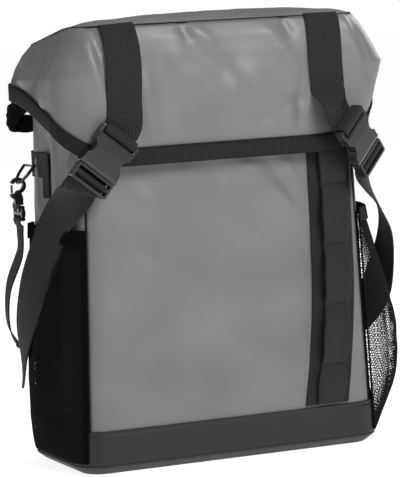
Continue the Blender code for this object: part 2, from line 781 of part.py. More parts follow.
def make_socket(name, frame, hinge):
    """The female half: a domed box with a bar for the strap, and a round window on each side."""
    bar_y = SOCKET_HIGH - SOCKET_BAR
    slot = rounded_box(STRAP_SLOT_HALF, bar_y - SOCKET_SLOT, bar_y, 0.001)
    half, waist = BUCKLE_WIDTH / 2, BUCKLE_WIDTH / 2 - 0.0012
    shoulder = SOCKET_HIGH - 0.013
    left = [(-half + 0.002, SOCKET_HIGH), (-half, SOCKET_HIGH - 0.002), (-half, shoulder + 0.002)]
    left += [(-waist, shoulder - 0.002), (-waist, SOCKET_LOW + 0.006), (-half, SOCKET_LOW + 0.003)]
    left += [(-half, SOCKET_LOW + 0.0006), (-half + 0.0006, SOCKET_LOW)]
    shape = left + [(-x, y) for x, y in reversed(left)]
    plate = plate_mesh(name, [shape, slot], BUCKLE_THICKNESS + 0.002)
    socket = place(name, plate, PLASTIC_BLACK, frame)
    ends = BUCKLE_THICKNESS * 0.72
    domed(socket, SOCKET_LOW, SOCKET_HIGH, BUCKLE_THICKNESS, frame, ends, 2 * BUCKLE_WIDTH)
    bevel(socket, 0.0009, 2)
    hollow = block_mesh(
        "hollow",
        (-CAVITY_HALF_X, SOCKET_LOW - 0.01, -CAVITY_HALF_Z),
        (CAVITY_HALF_X, SOCKET_LOW + SOCKET_CAVITY_DEPTH, CAVITY_HALF_Z),
    )
    cut(socket, hollow, frame)
    notch_radius = 0.0085
    for side in (-1, 1):
        x = side * (CAVITY_HALF_X + notch_radius - 0.0008)
        y = SOCKET_LOW + SOCKET_CAVITY_DEPTH * 0.62
        reach = BUCKLE_THICKNESS
        cut(socket, rod_mesh("notch", notch_radius, (x, y, -reach), (x, y, reach), 24), frame)
    return hang(socket, hinge)


def make_plug(name, side_name, frame):
    """The male half: a ladder for the strap, a guide blade and two sprung prongs."""
    top = SOCKET_LOW - RUNNING_GAP
    low = top - PLUG_BASE_LENGTH
    bar = 0.0026
    slot_length = (PLUG_BASE_LENGTH - 3 * bar) / 2
    slots = []
    for k in range(2):
        foot = low + bar + k * (slot_length + bar)
        slots.append(rounded_box(STRAP_SLOT_HALF, foot, foot + slot_length, 0.0008))
    shape = rounded_box(BUCKLE_WIDTH / 2 - 0.001, low, top, 0.0025)
    plug = place(name, plate_mesh(name, [shape] + slots, PLUG_THICKNESS), PLASTIC_BLACK, frame)
    bevel(plug, 0.0007, 1)
    blade = block_mesh(
        "blade",
        (-BLADE_WIDTH / 2, top - bar / 2, -BLADE_THICKNESS / 2),
        (BLADE_WIDTH / 2, top + SOCKET_CAVITY_DEPTH - 0.002, BLADE_THICKNESS / 2),
    )
    join(plug, blade, frame)
    slide = hang(plug, pivot(side_name + "_buckle_slide", frame.translation)).parent
    outer = CAVITY_HALF_X - RUNNING_GAP
    root = top + RUNNING_GAP
    for side in (-1, 1):
        which = "upper" if side * frame.col[0].z > 0 else "lower"
        head = outer - PRONG_HEAD
        arm = outer - PRONG_THICKNESS
        middle = root + PRONG_LENGTH * 0.42
        end = root + PRONG_LENGTH
        points = [(arm, root), (outer, root), (outer, end - 0.003), (outer - 0.0015, end)]
        points += [(head + 0.001, end), (head, end - 0.002), (head, middle + 0.003), (arm, middle)]
        if side < 0:
            points = [(-x, y) for x, y in reversed(points)]
        prong_name = f"{side_name}_{which}_prong"
        mesh = plate_mesh(prong_name, [points], BLADE_THICKNESS)
        prong = place(prong_name, mesh, PLASTIC_BLACK, frame)
        axis = frame @ Vector((side * (outer - PRONG_THICKNESS / 2), root, 0.0))
        hang(prong, pivot(prong_name + "_pivot", axis, slide))


def make_upper_strap(name, side, frame, hinge):
    """From the lid's top seam down its front, and behind the socket's bar."""
    stand = GAP + BINDING_THICKNESS + GAP + WEBBING_THICKNESS / 2
    x = side * UPPER_STRAP_X
    points, normals = [], []
    crown = WALL_HEIGHT + LID_RISE
    for below in (0.006, 0.011, 0.018, 0.027, 0.040, 0.058, 0.078, 0.092):
        z = crown - below
        points.append(lid_front(x, z, stand))
        slope = min(1.0, max(0.0, 0.9 - below / 0.03))
        normals.append(Vector((0, -1, slope)).normalized())
    back = -(STRAP_CLEAR - WEBBING_THICKNESS / 2)
    for up in (0.008, -0.001, -0.010):
        points.append(frame @ Vector((0, SOCKET_HIGH + up, back - 0.0012)))
        normals.append(frame.to_3x3() @ Vector((0, 0, 1)))
    path = smooth_path(points, 2)
    faces = [normals[min(k // 2, len(normals) - 1)] for k in range(len(path))]
    hang(ribbon(name, path, faces, WEBBING_WIDTH, WEBBING_BLACK), hinge)


# ---------------------------------------------------------------- pockets and straps on the sides


def pocket_fullness(z):
    """How full the pocket is at a height: none at its foot, most low down, less at its elastic."""
    t = min(1.0, max(0.0, (z - WALL_FOOT) / (POCKET_TOP - WALL_FOOT)))
    return math.sin(0.9 * math.pi * t**0.6)


POCKET_OFFSET = GAP + BOOT_THICKNESS + GAP
SEAM_Y = DEPTH / 2 - CORNER_RADIUS * (1 - math.cos(math.radians(45)))


def pocket_swell(y, z, bulge):
    """How far the pocket stands out from its seams at a point of the side."""
    share = min(1.0, max(0.0, (y + SEAM_Y) / (2 * SEAM_Y)))
    return bulge * pocket_fullness(z) * math.sin(math.pi * share)


def offset_row(row, distance):
    """A row of points moved sideways in plan, away from the bag."""
    moved = []
    for k, point in enumerate(row):
        along = Vector(row[min(k + 1, len(row) - 1)]) - Vector(row[max(k - 1, 0)])
        moved.append(Vector(point) + Vector((along.y, -along.x, 0.0)).normalized() * distance)
    return moved


def pocket_points(z, side, bulge):
    """The pocket's outline at a height, swelling out from its two seams."""
    first, last = FRONT_RIGHT_SEAM, BACK_RIGHT_SEAM
    if side < 0:
        first, last = BACK_LEFT_SEAM, FRONT_LEFT_SEAM
    points = span(wall_ring(z, POCKET_OFFSET), first, last, SEAM_GAP)
    return [(p.x + side * pocket_swell(p.y, z, bulge), p.y, z) for p in points]


def make_pocket(side_name, side, bulge):
    rows = [pocket_points(z, side, bulge) for z in heights(WALL_FOOT, POCKET_TOP, 9)]
    sheet(side_name + "_mesh_pocket", rows, POCKET_THICKNESS, 1, MESH_BLACK)
    outer = POCKET_THICKNESS + 2 * GAP
    rows = [
        offset_row(pocket_points(z, side, bulge), outer)
        for z in heights(POCKET_TOP - POCKET_HEM_HEIGHT, POCKET_TOP, 2)
    ]
    sheet(side_name + "_pocket_hem", rows, POCKET_HEM_THICKNESS, 1, WEBBING_BLACK)


def pocket_outer(y, z, bulge):
    """How far out the pocket and its hem reach at a point of the side."""
    swell = pocket_swell(y, min(z, POCKET_TOP), bulge)
    fade = 1.0 if z <= POCKET_TOP else max(0.0, 1.0 - (z - POCKET_TOP) / 0.05)
    skin = POCKET_OFFSET + POCKET_THICKNESS + GAP + POCKET_HEM_THICKNESS
    return half_width(z) + skin + swell * fade


def pocket_normal(y, z, bulge, side):
    """The way the pocket faces at a point of the side."""
    step = 0.004
    slope_y = (pocket_outer(y + step, z, bulge) - pocket_outer(y - step, z, bulge)) / (2 * step)
    slope_z = (pocket_outer(y, z + step, bulge) - pocket_outer(y, z - step, bulge)) / (2 * step)
    return Vector((side, -slope_y, -slope_z)).normalized()


def make_lower_strap(side_name, side, bulge, belly, frame):
    """From behind the plug, round the corner and over the pocket, to the back edge."""
    back = -(STRAP_CLEAR - WEBBING_THICKNESS / 2)
    behind_plug = ((0.001, 0.0), (0.011, 0.0014), (0.021, 0.0056))
    points = [frame @ Vector((0, SOCKET_LOW - down, back - deep)) for down, deep in behind_plug]
    straight = 4 * (len(points) - 1)
    half = DEPTH / 2
    # Across the side: how far back, as a share of the half depth, the height, and the stand-off.
    top = WALL_HEIGHT - STRAP_BELOW_MOUTH
    for share, down, stand in (
        (-0.62, 0.000, 0.0057),
        (-0.30, 0.205, 0.0055),
        (0.02, 0.449, 0.0050),
        (0.38, 0.705, 0.0052),
        (0.72, 0.903, 0.0052),
    ):
        y, z = share * half, lerp(top, STRAP_END_Z, down)
        stand += belly * max(0.0, 1 - abs(down - 0.193) / 0.34)
        points.append(Vector((side * (pocket_outer(y, z, bulge) + stand), y, z)))
    leaving = len(behind_plug)
    points.insert(leaving, points[leaving - 1].lerp(points[leaving], 0.25))
    end_x = half_width(STRAP_END_Z) + 0.0075
    points.append(Vector((side * end_x, half * 0.99, STRAP_END_Z)))
    path = smooth_path(points, 4)
    normals = []
    for k, point in enumerate(path):
        facing = wall_normal(point.x, point.y, point.z)
        if abs(point.y) < SEAM_Y * 0.9:
            facing = pocket_normal(point.y, point.z, bulge, side)
        start = frame.to_3x3() @ Vector((0, 0, 1))
        turned = min(1.0, max(0.0, (k - straight) / 6))
        normals.append(start.lerp(facing, turned).normalized())
    ribbon(side_name + "_lower_strap", path, normals, WEBBING_WIDTH, WEBBING_BLACK)


def make_side_tab(side_name, side):
    """A webbing tab sewn into the back seam, its free end hanging down in front."""
    offset = GAP + WEBBING_THICKNESS
    verts = []
    for z in (TAB_LOW, TAB_MIDDLE, TAB_HIGH):
        x = side * (half_width(z) + offset)
        verts += [(x, y, z) for y in (TAB_FRONT_Y, TAB_FOLD_Y, DEPTH / 2 - CORNER_RADIUS)]
        ring = span(wall_ring(z, offset), BACK_RIGHT_SEAM - 3, BACK_RIGHT_SEAM - 1)
        verts += [(side * p.x, p.y, z) for p in ring[1:]]
    columns = len(verts) // 3
    faces = []
    for row in range(2):
        for c in range(columns - 1):
            if row == 0 and c > 0:
                continue
            low, high = row * columns, (row + 1) * columns
            face = (low + c, low + c + 1, high + c + 1, high + c)
            faces.append(face if side > 0 else tuple(reversed(face)))
    name = side_name + "_side_tab"
    mesh = bpy.data.meshes.new(name)
    bm = bmesh.new()
    made = [bm.verts.new(v) for v in verts]
    for face in faces:
        bm.faces.new([made[i] for i in face])
    bmesh.ops.delete(bm, geom=[v for v in bm.verts if not v.link_faces], context="VERTS")
    bm.to_mesh(mesh)
    bm.free()
    tab = place(name, mesh, WEBBING_BLACK)
    solid = tab.modifiers.new("thickness", "SOLIDIFY")
    solid.thickness = WEBBING_THICKNESS
    solid.offset = -1


def make_ring_set(side_name, side):
    """A D-ring on the tab, with a snap hook and slider hanging from it, and the carry strap."""
    wall = half_width(RING_Z)
    bar_x = side * (wall + GAP + WEBBING_THICKNESS + GAP + RING_WIRE + 0.0006)
    low_x = side * (wall + GAP + WEBBING_THICKNESS + RING_STAND + 0.003)
    y_mid = (TAB_FOLD_Y + TAB_BACK_Y) / 2 + 0.002
    half_y, drop = RING_HALF_LENGTH, RING_DROP
    loop = [(bar_x, y_mid - half_y, RING_Z), (bar_x, y_mid + half_y, RING_Z)]
    for y, rise in arc((0.0, 0.0), 1.0, 0, -180, 10):
        t = -rise
        x = lerp(bar_x, low_x, 0.25 + 0.75 * t)
        loop.append((x, y_mid + y * half_y, RING_Z - 0.004 - t * (drop - 0.004)))
    axis = pivot(side_name + "_ring_pivot", (bar_x, y_mid, RING_Z))
    name = side_name + "_d_ring"
    hang(place(name, wire_mesh(name, loop, RING_WIRE, cyclic=True), STEEL), axis)
    wire_z = RING_Z - drop
    make_snap_hook(side_name, side, Vector((low_x, y_mid, wire_z)), axis)
    return Vector((low_x, y_mid, wire_z))


def make_snap_hook(side_name, side, wire, axis):
    """A sprung snap hook round the D-ring's wire, and the slider on its eye."""
    centre = Vector((wire.x, wire.y, wire.z - (HOOK_INNER - RING_WIRE - 0.0006)))
    # Drawn in its own plane, x away from the bag and y up, the mouth on the outer side.
    outer = arc((0, 0), HOOK_OUTER, 20, 250, 14)
    inner = arc((0, 0), HOOK_INNER, 250, 20, 12)
    shank = [(-0.0045, -0.013), (-0.0045, -HOOK_SHANK), (0.0045, -HOOK_SHANK), (0.0045, -0.0150)]
    seat = [(0.0085, -0.0115), (0.0085, GATE_SEAT), (0.0040, GATE_SEAT), (0.0015, -0.0053)]
    points = outer + shank + seat + inner
    frame = axes_matrix(centre, Vector((side, 0, 0)), Vector((0, 0, 1)), Vector((0, -side, 0)))
    name = side_name + "_snap_hook"
    hook = place(name, plate_mesh(name, [points], HOOK_PLATE), PLASTIC_BLACK, frame)
    hang(hook, axis)
    middle = (HOOK_OUTER + HOOK_INNER) / 2
    gate_low = (middle, GATE_SEAT + RUNNING_GAP)
    gate_high = (middle, gate_low[1] + GATE_LENGTH)
    name = side_name + "_hook_gate"
    rod = rod_mesh(name, GATE_RADIUS, (*gate_low, 0.0), (*gate_high, 0.0), 10)
    gate = place(name, rod, STEEL, frame)
    hang(gate, pivot(side_name + "_gate_pivot", frame @ Vector((*gate_low, 0.0)), axis))
    top = centre.z - HOOK_SHANK - GAP
    slider_name = side_name + "_slider"
    outer_box = rounded_box(SLIDER_WIDTH / 2, -SLIDER_HEIGHT / 2, SLIDER_HEIGHT / 2, 0.002)
    slots = [
        rounded_box(SIDE_WEBBING_WIDTH / 2 + 0.0006, y - 0.0017, y + 0.0017, 0.0006)
        for y in (-0.0034, 0.0034)
    ]
    flat = axes_matrix(
        Vector((centre.x, centre.y, top - SLIDER_HEIGHT / 2)),
        Vector((0, -side, 0)) * -1,
        Vector((0, 0, 1)),
        Vector((side, 0, 0)),
    )
    plate = plate_mesh(slider_name, [outer_box] + slots, SLIDER_THICKNESS)
    hang(place(slider_name, plate, PLASTIC_BLACK, flat), axis)


def slider_foot(wire):
    """The lowest point of the slider that hangs from the D-ring's wire."""
    return wire.z - (HOOK_INNER - RING_WIRE - 0.0006) - HOOK_SHANK - GAP - SLIDER_HEIGHT


def make_side_strap(side_name, side, bulge, wire):
    """The narrow carry strap, from under the slider down to its anchor on the back edge."""
    top = slider_foot(wire) - 0.0045
    anchor_z = SIDE_STRAP_ANCHOR_Z
    points = []
    for z in (top, top - 0.008):
        pocket = pocket_outer(wire.y - SIDE_WEBBING_WIDTH / 2, z, bulge)
        points.append(Vector((side * max(side * wire.x, pocket + 0.003), wire.y, z)))
    for share, back, stand in ((0.22, 0.71, 0.0085), (0.5, 0.95, 0.0140), (0.8, 1.06, 0.0100)):
        z, y = lerp(top, anchor_z, share), back * DEPTH / 2
        points.append(Vector((side * (pocket_outer(min(y, SEAM_Y * 0.8), z, bulge) + stand), y, z)))
    points.append(Vector((side * (half_width(anchor_z) + 0.0045), DEPTH / 2 + 0.009, anchor_z)))
    path = smooth_path(points, 4)
    normals = [Vector((side, 0.25 * k / len(path), 0)).normalized() for k in range(len(path))]
    name = side_name + "_side_strap"
    ribbon(name, path, normals, SIDE_WEBBING_WIDTH, WEBBING_BLACK, SIDE_STRAP_THICKNESS)
    along = (path[-1] - path[-3]).normalized()
    face = (normals[-2] - along * normals[-2].dot(along)).normalized()
    start = path[-2] + face * (SIDE_STRAP_THICKNESS / 2 + 2 * GAP)
    end = start + face * RIVET_HEIGHT
    name = side_name + "_anchor_rivet"
    place(name, rod_mesh(name, RIVET_RADIUS, start, end, 16, 0.65 * RIVET_RADIUS), BLUE_PLASTIC)


# ---------------------------------------------------------------- daisy chain


def front_face(x, z, offset):
    """A point on the front panel, moved outwards by offset."""
    flat = half_width(z) - CORNER_RADIUS
    share = min(1.0, max(0.0, (x / flat + 1) / 2))
    y = -(DEPTH / 2 + offset) - front_bulge(z) * math.sin(math.pi * share)
    beyond = abs(x) - flat
    if beyond > 0:
        radius = CORNER_RADIUS + offset
        y = -(DEPTH / 2 - CORNER_RADIUS) - math.sqrt(max(0.0, radius**2 - beyond**2))
    return Vector((x, y, z))


DAISY_TOP = HEM_Z + DAISY_ABOVE_HEM
DAISY_FOOT = BOOT_HEIGHT + 0.003


def daisy_centre(z):
    """The chain leans in a little towards the foot of the panel."""
    lean = max(0.0, 1 - (z - DAISY_FOOT) / 0.14)
    return UPPER_STRAP_X + 0.005 - DAISY_LEAN * lean**1.5


def make_daisy_chain():
    rows = []
    for z in heights(DAISY_FOOT, DAISY_TOP, 6):
        middle = daisy_centre(z)
        half = DAISY_BACKING_WIDTH / 2
        across = [lerp(middle - half, middle + half, k / 10) for k in range(11)]
        rows.append([front_face(x, z, GAP) for x in across])
    sheet("daisy_chain_backing", rows, WEBBING_THICKNESS, 1, WEBBING_BLACK)
    last_tack = DAISY_TOP - DAISY_TACK_SPACING / 2
    loops = int((last_tack - DAISY_FIRST_TACK) / DAISY_TACK_SPACING) + 1
    tacks = [DAISY_FIRST_TACK + k * DAISY_TACK_SPACING for k in range(loops)]
    tacks = [DAISY_FOOT] + tacks + [DAISY_TOP]
    rows = []
    laid = GAP + WEBBING_THICKNESS + 2 * GAP
    for low, high in zip(tacks, tacks[1:]):
        tall = min(1.0, (high - low) / DAISY_TACK_SPACING) ** 2
        for k in range(8 if high is tacks[-1] else 7):
            t = k / 7
            z = lerp(low, high, t)
            rise = DAISY_STANDOFF * tall * math.sin(math.pi * t) ** 0.7 if 0 < t < 1 else 0.0
            right = daisy_centre(z) + DAISY_BACKING_WIDTH / 2 - 0.0005
            left = right - WEBBING_WIDTH
            rows.append([front_face(lerp(left, right, c / 4), z, laid + rise) for c in range(5)])
    sheet("daisy_chain_loops", rows, WEBBING_THICKNESS, 1, WEBBING_BLACK)


# ---------------------------------------------------------------- rack fittings

BACK_FACE = DEPTH / 2 + GAP
RAIL_FACE = BACK_FACE + RAIL_THICKNESS


CHANNEL_FACE = RAIL_FACE - RAIL_CHANNEL_DEPTH


def across_frame(x, z):
    """Turns a profile drawn in y and z so that it is extruded across the bag."""
    return axes_matrix(Vector((x, 0, z)), Vector((0, 1, 0)), Vector((0, 0, 1)), Vector((1, 0, 0)))


def make_rail(name, length, z):
    """An extruded rail screwed through the back panel, with a shallow channel along its face."""
    half, channel, round_off = RAIL_HEIGHT / 2, RAIL_CHANNEL_HEIGHT / 2, 0.0012
    upper = [(CHANNEL_FACE, channel), (RAIL_FACE, channel)]
    upper += arc((RAIL_FACE - round_off, half - round_off), round_off, 0, 90, 3)
    upper += [(BACK_FACE, half)]
    profile = upper + [(y, -height) for y, height in reversed(upper)]
    return place(name, plate_mesh(name, [profile], length), ALUMINIUM, across_frame(0, z))


def make_screws(name, spacing, z, layers):
    """Screws that run through the rail, the back panel and the board."""
    inner = DEPTH / 2 - PANEL_THICKNESS - GAP - BACK_BOARD_THICKNESS - 0.002
    for side_name, side in (("left", -1), ("right", 1)):
        x = side * spacing / 2
        head_y = CHANNEL_FACE + GAP
        full = f"{side_name}_{name}_screw"
        shank = rod_mesh(full, SCREW_RADIUS, (x, inner, z), (x, head_y + 0.001, z), 14)
        screw = place(full, shank, STEEL)
        crown = head_y + SCREW_HEAD_HEIGHT
        join(screw, rod_mesh("head", SCREW_HEAD_RADIUS, (x, head_y, z), (x, crown, z), 20))
        for layer in layers:
            hole = SCREW_RADIUS + GAP
            cut(layer, rod_mesh("screw_hole", hole, (x, inner - 0.01, z), (x, head_y + 0.01, z), 14))


HOOK_BACK = RAIL_FACE + GAP
HOOK_PLATE_Y = HOOK_BACK + HOOK_WALL
HOOK_TOP = TOP_RAIL_Z + 0.030
LATCH_PIVOT_Z = TOP_RAIL_Z - 0.0085


def make_rack_hook(side_name, side):
    """A J-shaped hook over the rack's tube, and the sprung latch that closes its mouth."""
    lip = HOOK_PLATE_Y + HOOK_MOUTH
    crown = HOOK_MOUTH / 2
    inside = arc((HOOK_PLATE_Y + crown, HOOK_TOP - HOOK_WALL - crown), crown, 0, 180, 8)
    radius = crown + HOOK_WALL
    outside = arc((HOOK_PLATE_Y + crown, HOOK_TOP - radius), radius, 90, 0, 6)
    lip_foot = TOP_RAIL_Z + 0.001
    points = [(HOOK_BACK, TOP_RAIL_Z - 0.016), (HOOK_BACK, HOOK_TOP)] + outside
    points += [(lip + HOOK_WALL, lip_foot), (lip, lip_foot - 0.002)] + inside
    points += [(HOOK_PLATE_Y, TOP_RAIL_Z - 0.016)]
    x = side * HOOK_SPACING / 2
    name = side_name + "_rack_hook"
    hook = place(name, plate_mesh(name, [points], HOOK_WIDTH), PLASTIC_BLACK, across_frame(x, 0))
    bevel(hook, 0.0010, 1)
    # The latch: a finger across the mouth, turning about a pin at its root.
    root = HOOK_PLATE_Y + LATCH_ROOT + 2 * RUNNING_GAP
    pin = (root, LATCH_PIVOT_Z)
    tip = lip - root - 2 * RUNNING_GAP
    finger = arc(pin, LATCH_ROOT, 150, 330, 8) + arc(pin, tip, 12, 52, 6)
    finger += [(root - 0.0026, LATCH_PIVOT_Z + 0.0030)]
    name = side_name + "_hook_latch"
    plate = plate_mesh(name, [finger], HOOK_WIDTH * 0.62)
    latch = place(name, plate, PLASTIC_BLACK, across_frame(x, 0))
    hang(latch, pivot(name + "_pivot", (x, pin[0], pin[1])))


def make_handle():
    """A stiff webbing grip between the hooks; pulling it up opens both latches."""
    y = HOOK_PLATE_Y + 0.008
    foot = TOP_RAIL_Z - 0.006
    half = HANDLE_SPAN / 2
    left = [(-half, 0.0), (-0.96 * half, 0.55), (-0.55 * half, 1.0)]
    bow = left + [(-x, rise) for x, rise in reversed(left)]
    path = smooth_path([(x, y, foot + HANDLE_RISE * rise) for x, rise in bow], 4)
    normals = []
    for k in range(len(path)):
        along = path[min(k + 1, len(path) - 1)] - path[max(k - 1, 0)]
        normals.append(Vector((-along.z, 0, along.x)).normalized())
    handle = ribbon("release_handle", path, normals, HANDLE_WIDTH, WEBBING_BLACK, 0.003)
    hang(handle, pivot("handle_slide", (0, y, foot)))


def make_lower_hook():
    """A carriage that slides along the lower rail and a hook that turns on it."""
    half = RAIL_HEIGHT / 2 + RUNNING_GAP
    outer_z = half + CARRIAGE_LIP
    back = BACK_FACE + CARRIAGE_LIP / 2
    face = RAIL_FACE + RUNNING_GAP
    outside = face + CARRIAGE_WALL
    points = [(face, -half), (face, half), (back, half), (back, outer_z), (outside, outer_z)]
    points += [(outside, -outer_z), (back, -outer_z), (back, -half)]
    name = "lower_hook_carriage"
    plate = plate_mesh(name, [points], CARRIAGE_LENGTH)
    carriage = place(name, plate, PLASTIC_BLACK, across_frame(0, LOWER_RAIL_Z))
    slide = pivot("lower_hook_slide", (0, outside, LOWER_RAIL_Z))
    hang(carriage, slide)
    arm = arc((0, 0), LOWER_HOOK_HUB, 100, 350, 14)
    arm += [(0.026, -0.005), (0.034, 0.000), (0.034, 0.022), (0.028, 0.022), (0.026, 0.007)]
    arm += [(0.009, 0.0105)]
    turned = axes_matrix(
        Vector((0, outside + RUNNING_GAP + LOWER_HOOK_THICKNESS / 2, LOWER_RAIL_Z)),
        Vector((-1, 0, 0)),
        Vector((0, 0, 1)),
        Vector((0, 1, 0)),
    )
    plate = plate_mesh("lower_hook", [arm], LOWER_HOOK_THICKNESS)
    hook = place("lower_hook", plate, PLASTIC_BLACK, turned)
    bevel(hook, 0.0006, 1)
    hang(hook, pivot("lower_hook_turn", (0, outside, LOWER_RAIL_Z), slide))


# ---------------------------------------------------------------- assembly


def main():
    back_panel = make_walls()
    make_boot()
    back_board = make_boards()
    make_collar()
    hinge = pivot("lid_hinge", (0, HINGE_Y, HINGE_Z))
    make_lid(hinge)
    for side_name, side, bulge, belly in (
        ("left", -1, LEFT_POCKET_BULGE, 0.0),
        ("right", 1, RIGHT_POCKET_BULGE, RIGHT_STRAP_BELLY),
    ):
        frame = buckle_frame(side)
        make_socket(side_name + "_buckle_socket", frame, hinge)
        make_plug(side_name + "_buckle_plug", side_name, frame)
        make_upper_strap(side_name + "_upper_strap", side, frame, hinge)
        make_pocket(side_name, side, bulge)
        make_lower_strap(side_name, side, bulge, belly, frame)
        make_side_tab(side_name, side)
        wire = make_ring_set(side_name, side)
        make_side_strap(side_name, side, bulge, wire)
        make_rack_hook(side_name, side)
    make_daisy_chain()
    for name, length, spacing, z in (
        ("top_rail", RAIL_LENGTH, TOP_SCREW_SPACING, TOP_RAIL_Z),
        ("lower_rail", LOWER_RAIL_LENGTH, LOWER_SCREW_SPACING, LOWER_RAIL_Z),
    ):
        rail = make_rail(name, length, z)
        make_screws(name, spacing, z, (rail, back_panel, back_board))
    make_handle()
    make_lower_hook()


main()
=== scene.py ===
"""The looks of a bicycle pannier bag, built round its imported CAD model.

Metres, +Z up, the front panel faces -Y. Soft pieces are drawn again as finer cloth with the same
places as their CAD solids; rigid pieces keep their CAD shape and get their real finish.
"""

import math

import bmesh
import bpy
from mathutils import Matrix, Vector, noise


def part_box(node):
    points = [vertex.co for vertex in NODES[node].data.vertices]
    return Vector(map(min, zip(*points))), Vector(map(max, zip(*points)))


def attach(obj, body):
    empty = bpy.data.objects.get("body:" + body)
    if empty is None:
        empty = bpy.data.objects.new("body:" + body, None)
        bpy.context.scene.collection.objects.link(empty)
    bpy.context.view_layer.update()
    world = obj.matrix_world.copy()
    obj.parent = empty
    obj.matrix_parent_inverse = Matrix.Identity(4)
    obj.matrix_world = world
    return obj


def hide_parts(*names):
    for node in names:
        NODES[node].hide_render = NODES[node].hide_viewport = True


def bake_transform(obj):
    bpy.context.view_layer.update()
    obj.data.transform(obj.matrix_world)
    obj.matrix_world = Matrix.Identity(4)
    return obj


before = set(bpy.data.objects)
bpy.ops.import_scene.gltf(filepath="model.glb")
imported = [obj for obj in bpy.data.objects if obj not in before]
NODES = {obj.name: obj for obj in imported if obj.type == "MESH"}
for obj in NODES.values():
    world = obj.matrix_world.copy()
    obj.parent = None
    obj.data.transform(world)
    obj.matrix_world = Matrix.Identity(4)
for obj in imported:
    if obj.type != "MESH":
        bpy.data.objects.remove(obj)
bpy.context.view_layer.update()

# ---------------------------------------------------------------- camera


def make_camera():
    """The camera stands off the left front corner, a little above the bag."""
    data = bpy.data.cameras.new("camera")
    data.lens = 199.2
    data.sensor_width = 36.0
    data.clip_end = 20.0
    camera = bpy.data.objects.new("camera", data)
    right = Vector((0.914792, -0.401145, -0.047311))
    up = Vector((0.082761, 0.071501, 0.994001))
    back = Vector((-0.395356, -0.913220, 0.098608))
    matrix = Matrix((right, up, back)).transposed().to_4x4()
    matrix.translation = (-1.09767, -2.54340, 0.49852)
    camera.matrix_world = matrix
    bpy.context.scene.collection.objects.link(camera)
    bpy.context.scene.camera = camera


make_camera()

# ---------------------------------------------------------------- sizes shared with the CAD model

BASE_WIDTH = 0.339
MOUTH_WIDTH = 0.311
DEPTH = 0.158
WALL_HEIGHT = 0.395
CORNER_RADIUS = 0.030
FRONT_BULGE = 0.006
PANEL_THICKNESS = 0.0025
WALL_FOOT = 0.012
GAP = 0.0004
BOOT_HEIGHT = 0.045
BOOT_THICKNESS = 0.0020
BOOT_CHAMFER_INSET = 0.012
COLLAR_OVERLAP = 0.029
COLLAR_RISE = 0.037
COLLAR_INSET = 0.020
LID_RISE = 0.069
LID_DROP_FRONT = 0.0805
LID_SLUMP = 0.028
LID_DROP_CORNER = 0.050
LID_DROP_LEFT = 0.016
LID_DROP_RIGHT = 0.006
LID_DROP_BACK = 0.012
LID_STANDOFF_FRONT = 0.0165
LID_STANDOFF_BACK = 0.0085
LID_STANDOFF_LEFT = 0.0235
LID_STANDOFF_RIGHT = 0.037
LID_CORNER_RADIUS = 0.036
BINDING_HEIGHT = 0.017
BINDING_THICKNESS = 0.0012
WEBBING_WIDTH = 0.038
WEBBING_THICKNESS = 0.0016
SIDE_WEBBING_WIDTH = 0.020
SIDE_STRAP_THICKNESS = 0.0014
UPPER_STRAP_X = 0.113
SOCKET_LENGTH = 0.046
BUCKLE_THICKNESS = 0.012
PLUG_BASE_LENGTH = 0.0174
POCKET_TOP = 0.250
POCKET_THICKNESS = 0.0012
POCKET_BULGE = {-1: 0.018, 1: 0.058}
STRAP_BELLY = {-1: 0.0, 1: 0.016}
STRAP_END_Z = 0.086
POCKET_HEM_HEIGHT = 0.015
POCKET_HEM_THICKNESS = 0.0010
DAISY_TACK_SPACING = 0.063
DAISY_FIRST_TACK = 0.0892
DAISY_STANDOFF = 0.0095
DAISY_BACKING_WIDTH = 0.050
DAISY_LEAN = 0.013
HEM_Z = WALL_HEIGHT - LID_DROP_FRONT
DAISY_TOP = HEM_Z + 0.019
DAISY_FOOT = BOOT_HEIGHT + 0.003
CROWN = WALL_HEIGHT + LID_RISE

# How finely cloth is divided round the bag. Sides and corners have the same count, as in the CAD.
FRONT_STEPS = 60
SIDE_STEPS = 24
CORNER_STEPS = 24
RING = 2 * (FRONT_STEPS + SIDE_STEPS) + 4 * CORNER_STEPS
FRONT_RIGHT_SEAM = FRONT_STEPS + CORNER_STEPS // 2
BACK_RIGHT_SEAM = FRONT_RIGHT_SEAM + SIDE_STEPS + CORNER_STEPS
BACK_LEFT_SEAM = BACK_RIGHT_SEAM + FRONT_STEPS + CORNER_STEPS
FRONT_LEFT_SEAM = BACK_LEFT_SEAM + SIDE_STEPS + CORNER_STEPS
SEAMS = (FRONT_RIGHT_SEAM, BACK_RIGHT_SEAM, BACK_LEFT_SEAM, FRONT_LEFT_SEAM)
PLEATS = 33  # gathers round the collar's drawn edge

# ---------------------------------------------------------------- materials


def linear(hex_code):
    """An sRGB hex colour as linear RGBA."""
    parts = [int(hex_code[k : k + 2], 16) / 255 for k in (1, 3, 5)]
    parts = [c / 12.92 if c <= 0.04045 else ((c + 0.055) / 1.055) ** 2.4 for c in parts]
    return (*parts, 1.0)


def add(tree, kind, inputs=None, **settings):
    """Adds a node; inputs are values, or sockets to link from."""
    node = tree.nodes.new("ShaderNode" + kind)
    for key, value in settings.items():
        setattr(node, key, value)
    for key, value in (inputs or {}).items():
        if isinstance(value, bpy.types.NodeSocket):
            tree.links.new(value, node.inputs[key])
        else:
            node.inputs[key].default_value = value
    return node


def new_material(name):
    """A material with its shader, ready for more nodes."""
    material = bpy.data.materials.new(name)
    material.use_nodes = True
    return material, material.node_tree, material.node_tree.nodes["Principled BSDF"]


